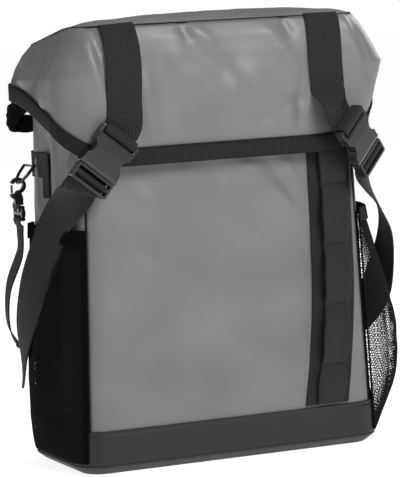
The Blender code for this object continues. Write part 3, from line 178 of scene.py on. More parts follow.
def ramp(tree, factor, stops):
    """A colour ramp between stops of (position, hex colour)."""
    node = add(tree, "ValToRGB", {"Fac": factor})
    elements = node.color_ramp.elements
    while len(elements) < len(stops):
        elements.new(0.5)
    for element, (position, colour) in zip(elements, stops):
        element.position = position
        element.color = linear(colour)
    return node.outputs["Color"]


def coated_polyester():
    """Coated polyester: plain-woven cloth under a thin satin coating.

    The coating gives a soft broad sheen, and the weave under it a faint grain. The real threads are
    0.4 mm apart; they are drawn at 0.9 mm so that they show.
    """
    material, tree, shader = new_material("coated_polyester_grey")
    where = add(tree, "TexCoord").outputs["Object"]
    cloudy = add(tree, "TexNoise", {"Vector": where, "Scale": 14.0, "Detail": 3.0})
    colour = ramp(tree, cloudy.outputs["Fac"], [(0.30, "#616162"), (0.72, "#6b6b6c")])
    shader.inputs["Base Color"].default_value = linear("#787879")
    tree.links.new(colour, shader.inputs["Base Color"])
    shader.inputs["Roughness"].default_value = 0.48
    shader.inputs["IOR"].default_value = 1.5
    shader.inputs["Coat Weight"].default_value = 0.12
    shader.inputs["Coat Roughness"].default_value = 0.35
    thread = 1 / 0.0009
    scaled = add(tree, "VectorMath", {0: where, 1: (thread, thread, thread)}, operation="MULTIPLY")
    grain = add(tree, "TexVoronoi", {"Vector": scaled.outputs["Vector"], "Scale": 1.0})
    rough = add(tree, "TexNoise", {"Vector": where, "Scale": 180.0, "Detail": 4.0})
    both = add(
        tree,
        "Math",
        {0: grain.outputs["Distance"], 1: rough.outputs["Fac"]},
        operation="ADD",
    )
    bump = add(
        tree, "Bump", {"Height": both.outputs["Value"], "Strength": 0.10, "Distance": 0.0004}
    )
    tree.links.new(bump.outputs["Normal"], shader.inputs["Normal"])
    return material


def woven(
    name, dark, light, pick, rib, roughness=0.75, strength=0.7, gloss=0.22, sheen=0.0
):
    """Woven tape: picks across its length and ribs along it, in the piece's own UV metres.

    pick is the spacing of the cross threads and rib that of the lengthwise ones. On real webbing
    they are about 1.4 mm apart; on the webbings below they are drawn at about 2.6 mm, to show.
    """
    material, tree, shader = new_material(name)
    uv = add(tree, "TexCoord").outputs["UV"]
    split = add(tree, "SeparateXYZ", {"Vector": uv})
    waves = []
    for axis, spacing in (("X", rib), ("Y", pick)):
        turns = add(
            tree,
            "Math",
            {0: split.outputs[axis], 1: 2 * math.pi / spacing},
            operation="MULTIPLY",
        )
        waves.append(add(tree, "Math", {0: turns.outputs[0]}, operation="SINE").outputs[0])
    product = add(tree, "Math", {0: waves[0], 1: waves[1]}, operation="MULTIPLY").outputs[0]
    cell = add(tree, "MapRange", {"Value": product, "From Min": -1.0, "From Max": 1.0})
    worn = add(tree, "TexNoise", {"Vector": uv, "Scale": 260.0, "Detail": 2.0})
    faded = add(tree, "MapRange", {"Value": worn.outputs["Fac"], "To Min": 0.80, "To Max": 1.05})
    mixed = add(
        tree,
        "Math",
        {0: cell.outputs["Result"], 1: faded.outputs["Result"]},
        operation="MULTIPLY",
    )
    colour = ramp(tree, mixed.outputs[0], [(0.40, dark), (0.80, light)])
    tree.links.new(colour, shader.inputs["Base Color"])
    shader.inputs["Roughness"].default_value = roughness
    shader.inputs["Specular IOR Level"].default_value = gloss
    shader.inputs["Sheen Weight"].default_value = sheen
    shader.inputs["Sheen Roughness"].default_value = 0.5
    bump = add(
        tree,
        "Bump",
        {"Height": cell.outputs["Result"], "Strength": strength, "Distance": 0.0005},
    )
    tree.links.new(bump.outputs["Normal"], shader.inputs["Normal"])
    return material


def moulded(
    name, colour, roughness, grain=0.0006, strength=0.08, coat=0.0, gloss=0.5, edge=0.0
):
    """Moulded plastic, foam or extruded thread, with a fine grain.

    grain is the size of its marks in metres, and edge the radius that its corners are rounded to.
    """
    material, tree, shader = new_material(name)
    where = add(tree, "TexCoord").outputs["Object"]
    texture = add(tree, "TexNoise", {"Vector": where, "Scale": 1 / grain / 3, "Detail": 2.0})
    patches = add(tree, "TexNoise", {"Vector": where, "Scale": 35.0, "Detail": 2.0})
    shade = add(
        tree,
        "MapRange",
        {"Value": patches.outputs["Fac"], "To Min": roughness - 0.05, "To Max": roughness + 0.07},
    )
    shader.inputs["Base Color"].default_value = linear(colour)
    tree.links.new(shade.outputs["Result"], shader.inputs["Roughness"])
    shader.inputs["IOR"].default_value = 1.49
    shader.inputs["Specular IOR Level"].default_value = gloss
    shader.inputs["Coat Weight"].default_value = coat
    shader.inputs["Coat Roughness"].default_value = 0.2
    bump = add(
        tree,
        "Bump",
        {"Height": texture.outputs["Fac"], "Strength": strength, "Distance": 0.0003},
    )
    if edge:
        rounded = add(tree, "Bevel", {"Radius": edge}, samples=6)
        tree.links.new(rounded.outputs["Normal"], bump.inputs["Normal"])
    tree.links.new(bump.outputs["Normal"], shader.inputs["Normal"])
    return material


def metal(name, colour, roughness, brushed):
    """A metal with fine marks along it, from brushing or drawing."""
    material, tree, shader = new_material(name)
    where = add(tree, "TexCoord").outputs["Object"]
    stretched = add(tree, "VectorMath", {0: where, 1: brushed}, operation="MULTIPLY")
    along = stretched.outputs["Vector"]
    marks = add(tree, "TexNoise", {"Vector": along, "Scale": 1.0, "Detail": 3.0})
    shade = add(
        tree,
        "MapRange",
        {"Value": marks.outputs["Fac"], "To Min": roughness - 0.06, "To Max": roughness + 0.10},
    )
    shader.inputs["Base Color"].default_value = linear(colour)
    shader.inputs["Metallic"].default_value = 1.0
    tree.links.new(shade.outputs["Result"], shader.inputs["Roughness"])
    bump = add(tree, "Bump", {"Height": marks.outputs["Fac"], "Strength": 0.06, "Distance": 0.0002})
    tree.links.new(bump.outputs["Normal"], shader.inputs["Normal"])
    return material


POLYESTER = coated_polyester()
WEBBING = woven(
    "polypropylene_webbing", "#060505", "#3b3835", 0.0026, 0.0028, 0.8, 0.9, 0.2, 0.05
)
# The loops' webbing is the same webbing in a lighter tone: painted light, standing in for the light
# that the raised loops catch.
LOOP_WEBBING_PAINTED_LIGHT = woven(
    "polypropylene_loop_webbing_painted_light", "#070606", "#423f3c", 0.0025, 0.0027, 0.8, 0.9, 0.2, 0.05
)
GROSGRAIN = woven("grosgrain_tape", "#121212", "#222222", 0.0011, 0.0200, 0.8, 0.35)
LINING = woven("lining_taffeta", "#020202", "#0a0a0a", 0.0016, 0.0016, 0.9, 0.3, 0.08)
NET = moulded("polyester_net", "#161616", 0.8, gloss=0.15)
BOOT_RUBBER = moulded("moulded_boot_eva", "#1c1c1c", 0.55, 0.0009, 0.10, gloss=0.4)
ACETAL = moulded("moulded_acetal_black", "#1b1b1c", 0.28, 0.0005, 0.05, 0.2, edge=0.0007)
SHEET_PLASTIC = moulded("sheet_polypropylene", "#161617", 0.50, 0.0012, 0.12)
RIVET_BLUE = moulded("moulded_nylon_blue", "#1c66c8", 0.35, 0.0005, 0.03, 0.2)
STEEL = metal("black_zinc_steel", "#48494c", 0.24, (400.0, 400.0, 400.0))
ALUMINIUM = metal("anodised_aluminium", "#9b9da0", 0.36, (40.0, 900.0, 900.0))
THREAD = moulded("bonded_nylon_thread", "#0c0c0c", 0.6, gloss=0.2)
GREY_THREAD = moulded("bonded_nylon_thread_grey", "#5d5d5e", 0.55)

# ---------------------------------------------------------------- shape helpers


def lerp(a, b, t):
    return a + (b - a) * t


def clamp(value):
    return min(1.0, max(0.0, value))


def smooth(value):
    """A smooth step from 0 to 1."""
    t = clamp(value)
    return t * t * (3 - 2 * t)


def heights(low, high, steps):
    return [lerp(low, high, k / steps) for k in range(steps + 1)]


def smooth_path(points, steps):
    """Points along a Catmull-Rom curve through the given ones."""
    points = [Vector(p) for p in points]
    ends = [2 * points[0] - points[1]] + points + [2 * points[-1] - points[-2]]
    path = []
    for k in range(1, len(ends) - 2):
        before, a, b, after = ends[k - 1 : k + 3]
        for s in range(steps):
            t = s / steps
            path.append(
                0.5
                * (
                    2 * a
                    + (b - before) * t
                    + (2 * before - 5 * a + 4 * b - after) * t**2
                    + (3 * a - before - 3 * b + after) * t**3
                )
            )
    return path + [points[-1]]


def new_object(name, mesh, material):
    mesh.materials.append(material)
    obj = bpy.data.objects.new(name, mesh)
    bpy.context.scene.collection.objects.link(obj)
    return obj


def grid(name, rows, material, closed=False, sharp=None):
    """A sheet through rows of points, with UVs in metres: u along a row, v across the rows."""
    columns = len(rows[0])
    verts = [tuple(point) for row in rows for point in row]
    faces, corners = [], []
    across = [0.0]
    middle = rows[len(rows) // 2]
    wrap = list(middle) + ([middle[0]] if closed else [])
    for a, b in zip(wrap, wrap[1:]):
        across.append(across[-1] + (Vector(b) - Vector(a)).length)
    along = [0.0]
    for low, high in zip(rows, rows[1:]):
        step = (Vector(high[columns // 2]) - Vector(low[columns // 2])).length
        along.append(along[-1] + step)
    for r in range(len(rows) - 1):
        for c in range(columns if closed else columns - 1):
            low, high = r * columns, (r + 1) * columns
            right = (c + 1) % columns
            faces.append((low + c, low + right, high + right, high + c))
            corners += [(across[c], along[r]), (across[c + 1], along[r])]
            corners += [(across[c + 1], along[r + 1]), (across[c], along[r + 1])]
    mesh = bpy.data.meshes.new(name)
    mesh.from_pydata(verts, [], faces)
    layer = mesh.uv_layers.new(name="cloth")
    layer.data.foreach_set("uv", [value for corner in corners for value in corner])
    mesh.shade_smooth()
    if sharp is not None:
        mesh.set_sharp_from_angle(angle=math.radians(sharp))
    return new_object(name, mesh, material)


def settle(obj):
    """Applies the object's modifiers to its mesh."""
    bpy.context.view_layer.update()
    graph = bpy.context.evaluated_depsgraph_get()
    mesh = bpy.data.meshes.new_from_object(obj.evaluated_get(graph))
    obj.modifiers.clear()
    obj.data = mesh
    return obj


def thicken(obj, thickness, side):
    """Gives a sheet its thickness: side is +1 outward, -1 inward and 0 both ways."""
    solid = obj.modifiers.new("thickness", "SOLIDIFY")
    solid.thickness = thickness
    solid.offset = side
    solid.use_even_offset = True
    return settle(obj)


def piece(obj, body, slot, *nodes):
    """Makes the piece ride on a body and stand for CAD nodes; slot is not used."""
    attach(obj, body)
    if nodes:
        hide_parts(*nodes)
    return obj


def loop_normals(path, across):
    """The way a folded strip faces, square to its course and to the line across it."""
    found = []
    for k in range(len(path)):
        ahead = (path[min(k + 1, len(path) - 1)] - path[max(k - 1, 0)]).normalized()
        found.append(ahead.cross(across).normalized())
    return found


TAPE_PROFILE = 5  # points across each half of a tape's face


def tape_section(width, thickness, edge=1.0):
    """The cross-section of woven tape: flat faces and slightly thicker rolled edges."""
    half, up = width / 2, thickness / 2
    top = []
    for k in range(TAPE_PROFILE * 2 + 1):
        t = lerp(-1, 1, k / (TAPE_PROFILE * 2))
        swell = 1.0 + 0.18 * edge * smooth((abs(t) - 0.80) / 0.14)
        top.append((t * (half - up * 0.6), up * swell))
    right = [(half - up * 0.1, up * 0.72), (half, 0.0), (half - up * 0.1, -up * 0.72)]
    bottom = [(x, -y) for x, y in reversed(top)]
    left = [(-x, -y) for x, y in right]
    return top + right + bottom + left


def tape(name, path, normals, width, thickness, material, widths=None):
    """A woven strip whose middle follows the path, facing along the normals, its ends closed."""
    section = tape_section(width, thickness)
    count = len(section)
    verts, faces, uvs = [], [], []
    along = [0.0]
    for a, b in zip(path, path[1:]):
        along.append(along[-1] + (b - a).length)
    girth = [0.0]
    for a, b in zip(section, section[1:] + section[:1]):
        girth.append(girth[-1] + math.dist(a, b))
    for k, point in enumerate(path):
        ahead = (path[min(k + 1, len(path) - 1)] - path[max(k - 1, 0)]).normalized()
        across = normals[k].cross(ahead).normalized()
        face = ahead.cross(across).normalized()
        share = widths[k] if widths else 1.0
        for x, y in section:
            verts.append(point + across * (x * share) + face * y)
    for k in range(len(path) - 1):
        for c in range(count):
            low, high = k * count, (k + 1) * count
            right = (c + 1) % count
            faces.append((low + right, low + c, high + c, high + right))
            uvs += [(girth[c + 1], along[k]), (girth[c], along[k])]
            uvs += [(girth[c], along[k + 1]), (girth[c + 1], along[k + 1])]
    last = (len(path) - 1) * count
    faces.append(tuple(range(count)))
    faces.append(tuple(last + c for c in reversed(range(count))))
    uvs += [(0.0, 0.0)] * (2 * count)
    mesh = bpy.data.meshes.new(name)
    mesh.from_pydata([tuple(v) for v in verts], [], faces)
    layer = mesh.uv_layers.new(name="cloth")
    layer.data.foreach_set("uv", [value for corner in uvs for value in corner])
    mesh.shade_smooth()
    mesh.set_sharp_from_angle(angle=math.radians(60))
    bm = bmesh.new()
    bm.from_mesh(mesh)
    bmesh.ops.recalc_face_normals(bm, faces=bm.faces)
    bm.to_mesh(mesh)
    bm.free()
    return new_object(name, mesh, material)


def seam_stitches(name, path, normals, material, pitch=0.0034, radius=0.00038):
    """A row of lockstitches: one short rounded thread after another along the path."""
    around = [(math.cos(2 * math.pi * k / 5), math.sin(2 * math.pi * k / 5)) for k in range(5)]
    verts, faces = [], []
    distance, walked = pitch / 2, 0.0
    for k, (a, b) in enumerate(zip(path, path[1:])):
        length = (b - a).length
        while length > 0 and distance <= walked + length:
            here = a.lerp(b, (distance - walked) / length) + normals[k] * (radius * 0.3)
            ahead = (b - a).normalized()
            side = ahead.cross(normals[k]).normalized()
            up = ahead.cross(side)
            first = len(verts)
            for share, size in ((-0.40, 0.35), (-0.26, 1.0), (0.26, 1.0), (0.40, 0.35)):
                for c, d in around:
                    off = (side * c + up * d) * radius * size
                    verts.append(here + ahead * (share * pitch) + off)
            for ring in range(3):
                for c in range(5):
                    low, high = first + 5 * ring, first + 5 * ring + 5
                    faces.append((low + c, low + (c + 1) % 5, high + (c + 1) % 5, high + c))
            faces.append(tuple(first + c for c in reversed(range(5))))
            faces.append(tuple(first + 15 + c for c in range(5)))
            distance += pitch
        walked += length
    mesh = bpy.data.meshes.new(name)
    mesh.from_pydata([tuple(v) for v in verts], [], faces)
    mesh.shade_smooth()
    return new_object(name, mesh, material)


# ---------------------------------------------------------------- the bag's outline


def half_width(z):
    """Half the width over the walls, which taper upwards."""
    return lerp(BASE_WIDTH, MOUTH_WIDTH, z / WALL_HEIGHT) / 2


def front_bulge(z):
    return FRONT_BULGE * max(0.0, math.sin(math.pi * z / WALL_HEIGHT))


def outline_point(index, half_x, half_y, radius, bulge=0.0):
    """One point of a rounded rectangle, counted anticlockwise from the left end of its front."""
    index %= RING
    for side, steps in enumerate((FRONT_STEPS, SIDE_STEPS, FRONT_STEPS, SIDE_STEPS)):
        if index < steps + CORNER_STEPS:
            break
        index -= steps + CORNER_STEPS
    flat_x, flat_y = half_x - radius, half_y - radius
    corners = ((flat_x, -flat_y), (flat_x, flat_y), (-flat_x, flat_y), (-flat_x, -flat_y))
    before, after = corners[side - 1], corners[side]
    turned = -90 + 90 * side + 90 * max(0, index - steps) / CORNER_STEPS
    out_x, out_y = math.cos(math.radians(turned)), math.sin(math.radians(turned))
    t = min(1.0, index / steps)
    x = lerp(before[0], after[0], t) + out_x * radius
    y = lerp(before[1], after[1], t) + out_y * radius
    if side == 0 and index < steps:
        y -= bulge * math.sin(math.pi * t)
    return x, y


def outline(half_x, half_y, radius, bulge=0.0):
    """A rounded rectangle's points, anticlockwise from the left end of its front face."""
    return [outline_point(k, half_x, half_y, radius, bulge) for k in range(RING)]


def wall_ring(z, offset=0.0):
    """The walls' outline at a height, moved outwards by offset."""
    return outline(
        half_width(z) + offset, DEPTH / 2 + offset, CORNER_RADIUS + offset, front_bulge(z)
    )


def span(ring, first, last):
    return [Vector(ring[k % RING]) for k in range(first, last + 1)]


def flat_normals(points):
    """The way a row of points in plan faces, outwards."""
    found = []
    for k in range(len(points)):
        ahead = points[min(k + 1, len(points) - 1)] - points[max(k - 1, 0)]
        found.append(Vector((ahead.y, -ahead.x, 0.0)).normalized())
    return found


def wall_normal(x, y, z):
    core_x, core_y = half_width(z) - CORNER_RADIUS, DEPTH / 2 - CORNER_RADIUS
    near = Vector((min(max(x, -core_x), core_x), min(max(y, -core_y), core_y), 0.0))
    return (Vector((x, y, 0.0)) - near).normalized()


def folds_at(a, z, folds):
    """The height of a set of cloth folds at a place.

    Each fold runs from (a0, z0) to (a1, z1), with a half width and a height; a is the distance
    across the panel.
    """
    total = 0.0
    for a0, z0, a1, z1, width, height in folds:
        da, dz = a1 - a0, z1 - z0
        t = ((a - a0) * da + (z - z0) * dz) / (da * da + dz * dz)
        if -0.25 < t < 1.25:
            off = math.hypot(a - a0 - t * da, z - z0 - t * dz)
            ends = smooth((t + 0.25) / 0.5) * smooth((1.25 - t) / 0.5)
            total += height * math.exp(-((off / width) ** 2)) * ends
    return total


def rumple(x, y, z, size, seed):
    """Soft unevenness of cloth, between -1 and 1, with a given size of dent."""
    place = Vector((x / size + seed, y / size - seed, z / size))
    return noise.noise(place) + 0.35 * noise.noise(place * 2.3 + Vector((7.1, 3.3, 1.7)))


# ---------------------------------------------------------------- walls

# Folds of the walls: along the panel, height, half width and height of the fold, in metres.
FRONT_FOLDS = (
    (-0.128, 0.268, -0.080, 0.212, 0.013, -0.0030),
    (-0.100, 0.286, -0.040, 0.226, 0.012, 0.0022),
    (-0.020, 0.300, 0.052, 0.235, 0.015, -0.0026),
    (0.018, 0.305, 0.070, 0.262, 0.008, 0.0020),
    (0.048, 0.307, 0.078, 0.266, 0.006, -0.0020),
    (0.066, 0.306, 0.084, 0.272, 0.005, 0.0015),
    (-0.140, 0.180, -0.060, 0.150, 0.022, 0.0018),
    (-0.020, 0.195, 0.070, 0.170, 0.018, 0.0016),
    (-0.120, 0.120, 0.010, 0.105, 0.024, -0.0016),
    (0.020, 0.120, 0.080, 0.085, 0.020, 0.0014),
)
SIDE_FOLDS = (
    (-0.062, 0.330, -0.030, 0.262, 0.0060, 0.0026),
    (-0.045, 0.345, -0.020, 0.270, 0.0055, -0.0030),
    (-0.010, 0.345, -0.012, 0.262, 0.0075, 0.0024),
    (0.018, 0.350, 0.012, 0.262, 0.0070, -0.0024),
    (0.044, 0.345, 0.040, 0.270, 0.0080, 0.0018),
)


def wall_relief(index, x, y, z):
    """How far the cloth stands in or out of the plain wall at a point."""
    if index <= FRONT_RIGHT_SEAM or index >= FRONT_LEFT_SEAM:
        height = 1.5 * folds_at(x, z, FRONT_FOLDS) + 0.0012 * rumple(x, y, z, 0.055, 3.7)
    elif index <= BACK_RIGHT_SEAM or index >= BACK_LEFT_SEAM:
        height = 1.6 * folds_at(y, z, SIDE_FOLDS) + 0.0010 * rumple(x, y, z, 0.045, 9.2)
        height *= smooth((z - POCKET_TOP + 0.002) / 0.012)
    else:
        height = 0.0006 * rumple(x, y, z, 0.060, 5.5)
    edge = min(abs(index - seam) for seam in SEAMS)
    near_seam = smooth((edge - 1) / 9)
    foot = smooth((z - BOOT_HEIGHT + 0.004) / 0.030)
    return height * near_seam * foot


def make_walls():
    """Four panels of coated cloth, sewn together down the corners."""
    levels = heights(WALL_FOOT, WALL_HEIGHT, 110)
    for name, first, last in (
        ("front_panel", FRONT_LEFT_SEAM - RING, FRONT_RIGHT_SEAM),
        ("right_side_panel", FRONT_RIGHT_SEAM, BACK_RIGHT_SEAM),
        ("back_panel", BACK_RIGHT_SEAM, BACK_LEFT_SEAM),
        ("left_side_panel", BACK_LEFT_SEAM, FRONT_LEFT_SEAM),
    ):
        rows = []
        for z in levels:
            points = span(wall_ring(z), first, last)
            normals = flat_normals(points)
            row = []
            for k, (p, n) in enumerate(zip(points, normals)):
                out = wall_relief((first + k) % RING, p.x, p.y, z)
                at_seam = min(k, last - first - k)
                out -= 0.0011 * math.exp(-((at_seam / 1.1) ** 2))
                row.append((p.x + n.x * out, p.y + n.y * out, z))
            rows.append(row)
        cloth = grid(name + "_cloth", rows, POLYESTER)
        thicken(cloth, 0.0014, -1)
        piece(cloth, "bag", "coated_fabric", name)


def make_pocket_linings():
    """Black lining behind each net, over the side panel and the boot."""
    for name, side in (("left", -1), ("right", 1)):
        rows = []
        for z in heights(WALL_FOOT + 0.0006, POCKET_TOP - 0.004, 70):
            offset = lerp(0.0006, GAP + BOOT_THICKNESS + 0.0001, smooth((0.056 - z) / 0.009))
            points = span(wall_ring(z, offset), FRONT_RIGHT_SEAM, BACK_RIGHT_SEAM)
            row = []
            for p in points:
                crease = 0.00015 * rumple(p.x, p.y, z, 0.018, 12.0 + side)
                row.append((side * (p.x + crease), p.y, z))
            rows.append(row)
        lining = grid(name + "_pocket_lining", rows, LINING)
        piece(lining, "bag", "mesh")


def make_corner_seams():
    """The taped seams down the bag's four corners."""
    for name, index in (
        ("front_right", FRONT_RIGHT_SEAM),
        ("back_right", BACK_RIGHT_SEAM),
        ("back_left", BACK_LEFT_SEAM),
        ("front_left", FRONT_LEFT_SEAM),
    ):
        path = []
        for z in heights(BOOT_HEIGHT - 0.002, WALL_HEIGHT - 0.001, 80):
            x, y = wall_ring(z, -0.0006)[index % RING]
            path.append(Vector((x, y, z)))
        normals = [wall_normal(p.x, p.y, p.z) for p in path]
        seam = tape(name + "_seam_tape", path, normals, 0.0022, 0.0010, GROSGRAIN)
        piece(seam, "bag", "binding")


def make_boot():
    """The moulded boot, with a rolled top edge and a welt round its foot."""
    face = GAP + BOOT_THICKNESS
    profile = [(0.0, face - BOOT_CHAMFER_INSET), (0.0010, face - BOOT_CHAMFER_INSET + 0.0022)]
    profile += [(0.0066, face - 0.0020), (0.0080, face - 0.0004), (0.0092, face + 0.0001)]
    profile += [(0.0100, face - 0.0007), (0.0108, face - 0.0001)]
    profile += [(z, face) for z in heights(0.013, BOOT_HEIGHT - 0.0042, 8)]
    profile += [(BOOT_HEIGHT - 0.0034, face - 0.0006), (BOOT_HEIGHT - 0.0026, face)]
    profile += [(BOOT_HEIGHT - 0.0008, face), (BOOT_HEIGHT, face - 0.0007)]
    rows = []
    for z, offset in profile:
        ring = wall_ring(max(z, 0.0), offset)
        rows.append([(x, y, z) for x, y in ring])
    boot = grid("boot_moulding", rows, BOOT_RUBBER, closed=True, sharp=38)
    bm = bmesh.new()
    bm.from_mesh(boot.data)
    bm.verts.ensure_lookup_table()
    bm.faces.new([bm.verts[k] for k in reversed(range(RING))])
    bm.to_mesh(boot.data)
    bm.free()
    thicken(boot, BOOT_THICKNESS * 0.8, -1)
    piece(boot, "bag", "boot", "boot")


def make_collar():
    """The snow collar: thin cloth sewn inside the mouth and gathered by its cord."""
    inside = -(PANEL_THICKNESS + GAP)
    rows = []
    foot = WALL_HEIGHT - COLLAR_OVERLAP
    for z in heights(foot, WALL_HEIGHT + COLLAR_RISE, 34):
        drawn = clamp((z - WALL_HEIGHT) / COLLAR_RISE)
        offset = inside - COLLAR_INSET * math.sin(drawn * math.pi / 2)
        ring = wall_ring(min(z, WALL_HEIGHT), offset)
        row = []
        normals = flat_normals([Vector(p) for p in ring])
        for k, ((x, y), n) in enumerate(zip(ring, normals)):
            sway = 2.0 * noise.noise(Vector((x, y, 0)) * 20)
            pleat = math.sin(k * 2 * math.pi * PLEATS / RING + sway)
            depth = 0.0021 * drawn * (1 - 0.3 * drawn)
            out = depth * (pleat - 1.0)
            row.append((x + n.x * out, y + n.y * out, z))
        rows.append(row)
    collar = grid("collar_cloth", rows, POLYESTER, closed=True)
    thicken(collar, 0.0006, -1)
    piece(collar, "bag", "coated_fabric", "collar")


# ---------------------------------------------------------------- the hood lid

LID_SECTIONS = (
    (LID_RISE + LID_DROP_FRONT, 0.000, 0.032, 0.000, 0.000),
    (LID_RISE + 0.030, 0.000, 0.014, 0.000, 0.000),
    (LID_RISE - 0.008, 0.001, 0.002, 0.001, 0.001),
    (0.042, 0.006, 0.011, 0.003, 0.002),
    (0.024, 0.013, 0.020, 0.007, 0.006),
    (0.011, 0.020, 0.028, 0.013, 0.013),
    (0.004, 0.031, 0.038, 0.022, 0.028),
    (0.001, 0.062, 0.070, 0.048, 0.052),
)
TOP_SEAM = 0.0105  # how far below the crown the top panel is sewn to the front


def lid_insets(z):
    """How far the hood is drawn in at a height, between its sections."""
    below = CROWN - z
    for lower, upper in zip(LID_SECTIONS, LID_SECTIONS[1:]):
        if below >= upper[0]:
            t = max(0.0, (lower[0] - below) / (lower[0] - upper[0]))
            return [lerp(a, b, t) for a, b in zip(lower[1:], upper[1:])]
    return list(LID_SECTIONS[-1][1:])


def lid_shape(z, offset=0.0):
    """The hood's outline at a height: half sizes, corner radius, and the shift of its middle."""
    left_in, right_in, front_in, back_in = lid_insets(z)
    half = half_width(WALL_HEIGHT - LID_DROP_BACK)
    left = half + LID_STANDOFF_LEFT - left_in + offset
    right = half + LID_STANDOFF_RIGHT - right_in + offset
    front = DEPTH / 2 + LID_STANDOFF_FRONT - front_in + offset
    back = DEPTH / 2 + LID_STANDOFF_BACK - back_in + offset
    half_x, half_y = (left + right) / 2, (front + back) / 2
    radius = min(LID_CORNER_RADIUS + offset, half_y - 0.004)
    return half_x, half_y, radius, (right - left) / 2, (back - front) / 2


def swept_drop(t, side_drop):
    """From the front (t = 0) to the back (t = 1) of one side of the hem."""
    knots = (
        (0.0, LID_DROP_FRONT),
        (0.28, LID_DROP_CORNER),
        (0.60, side_drop),
        (1.0, LID_DROP_BACK),
    )
    for (t0, d0), (t1, d1) in zip(knots, knots[1:]):
        if t <= t1:
            return lerp(d0, d1, (t - t0) / (t1 - t0))
    return LID_DROP_BACK


def hem_height(index):
    """The hem: low and level across the front, swept up the sides to the back."""
    index = index % RING
    right_start, right_end = FRONT_STEPS, FRONT_STEPS + 2 * CORNER_STEPS + SIDE_STEPS
    left_start = right_end + FRONT_STEPS
    if index <= right_start:
        drop = LID_DROP_FRONT
    elif index < right_end:
        drop = swept_drop((index - right_start) / (right_end - right_start), LID_DROP_RIGHT)
    elif index <= left_start:
        drop = LID_DROP_BACK
    else:
        drop = swept_drop(1 - (index - left_start) / (RING - left_start), LID_DROP_LEFT)
    return WALL_HEIGHT - drop


HEM_HEIGHTS = [hem_height(k) for k in range(RING)]


def soft_hem(index):
    """The hem's height with its corners eased, as cloth takes them."""
    near = [HEM_HEIGHTS[(index + d) % RING] for d in range(-7, 8)]
    return sum(near) / len(near)


LID_FOLDS = (
    (-0.044, 0.452, -0.036, 0.436, 0.0045, -0.0030),
    (-0.030, 0.450, -0.012, 0.430, 0.0060, 0.0018),
    (0.070, 0.452, 0.078, 0.434, 0.0045, -0.0026),
    (-0.140, 0.452, -0.128, 0.372, 0.0050, -0.0024),
    (-0.150, 0.440, -0.120, 0.350, 0.0080, 0.0022),
    (-0.075, 0.440, -0.060, 0.360, 0.0120, -0.0016),
    (-0.040, 0.430, 0.010, 0.395, 0.0110, -0.0022),
    (0.020, 0.400, 0.075, 0.350, 0.0140, 0.0024),
    (0.030, 0.352, 0.085, 0.372, 0.0090, -0.0018),
    (0.050, 0.445, 0.080, 0.400, 0.0080, 0.0016),
    (0.088, 0.400, 0.078, 0.340, 0.0050, -0.0022),
    (0.138, 0.455, 0.160, 0.400, 0.0055, 0.0028),
    (0.146, 0.440, 0.172, 0.375, 0.0060, -0.0030),
    (-0.088, 0.400, -0.084, 0.335, 0.0060, 0.0020),
)
LID_SIDE_FOLDS = (
    (-0.060, 0.420, -0.035, 0.372, 0.0080, 0.0030),
    (-0.030, 0.445, -0.010, 0.392, 0.0075, -0.0032),
    (0.010, 0.430, 0.020, 0.395, 0.0090, 0.0028),
    (0.045, 0.425, 0.052, 0.395, 0.0080, -0.0026),
)


def lid_point(index, z, offset=0.0, relief=True):
    """A point of the hood; its back left shoulder slumps."""
    half_x, half_y, radius, shift_x, shift_y = lid_shape(z, offset)
    x, y = outline_point(index, half_x, half_y, radius)
    x, y = x + shift_x, y + shift_y
    if relief:
        after = Vector(outline_point(index + 1, half_x, half_y, radius))
        ahead = after - Vector(outline_point(index - 1, half_x, half_y, radius))
        nx, ny = Vector((ahead.y, -ahead.x)).normalized()
        height = 0.0013 * rumple(x, y, z, 0.050, 1.9)
        if ny < -0.5:
            height += 1.5 * folds_at(x, z, LID_FOLDS)
        elif nx < -0.3 or nx > 0.3:
            height += 1.3 * folds_at(y, z, LID_SIDE_FOLDS)
        height *= smooth((z - HEM_HEIGHTS[index % RING]) / 0.03) * smooth((CROWN - z) / 0.02)
        x, y = x + nx * height, y + ny * height
    across = clamp((-x - 0.03) / 0.12)
    back = clamp((y + 0.06) / 0.14)
    height = clamp((z - WALL_HEIGHT) / LID_RISE)
    return Vector((x, y, z - LID_SLUMP * across**2 * back * height))


def lid_front(x, z, offset):
    """A point of the hood's front at a place across it, moved outwards by offset."""
    half_x, half_y, radius, shift_x, shift_y = lid_shape(z, offset)
    front = []
    for k in range(-CORNER_STEPS, FRONT_STEPS + CORNER_STEPS + 1):
        a, b = outline_point(k, half_x, half_y, radius)
        front.append((a + shift_x, b + shift_y))
    for (x0, y0), (x1, y1) in zip(front, front[1:]):
        if x0 <= x <= x1:
            return Vector((x, lerp(y0, y1, (x - x0) / (x1 - x0)), z))
    return Vector((x, -DEPTH / 2, z))


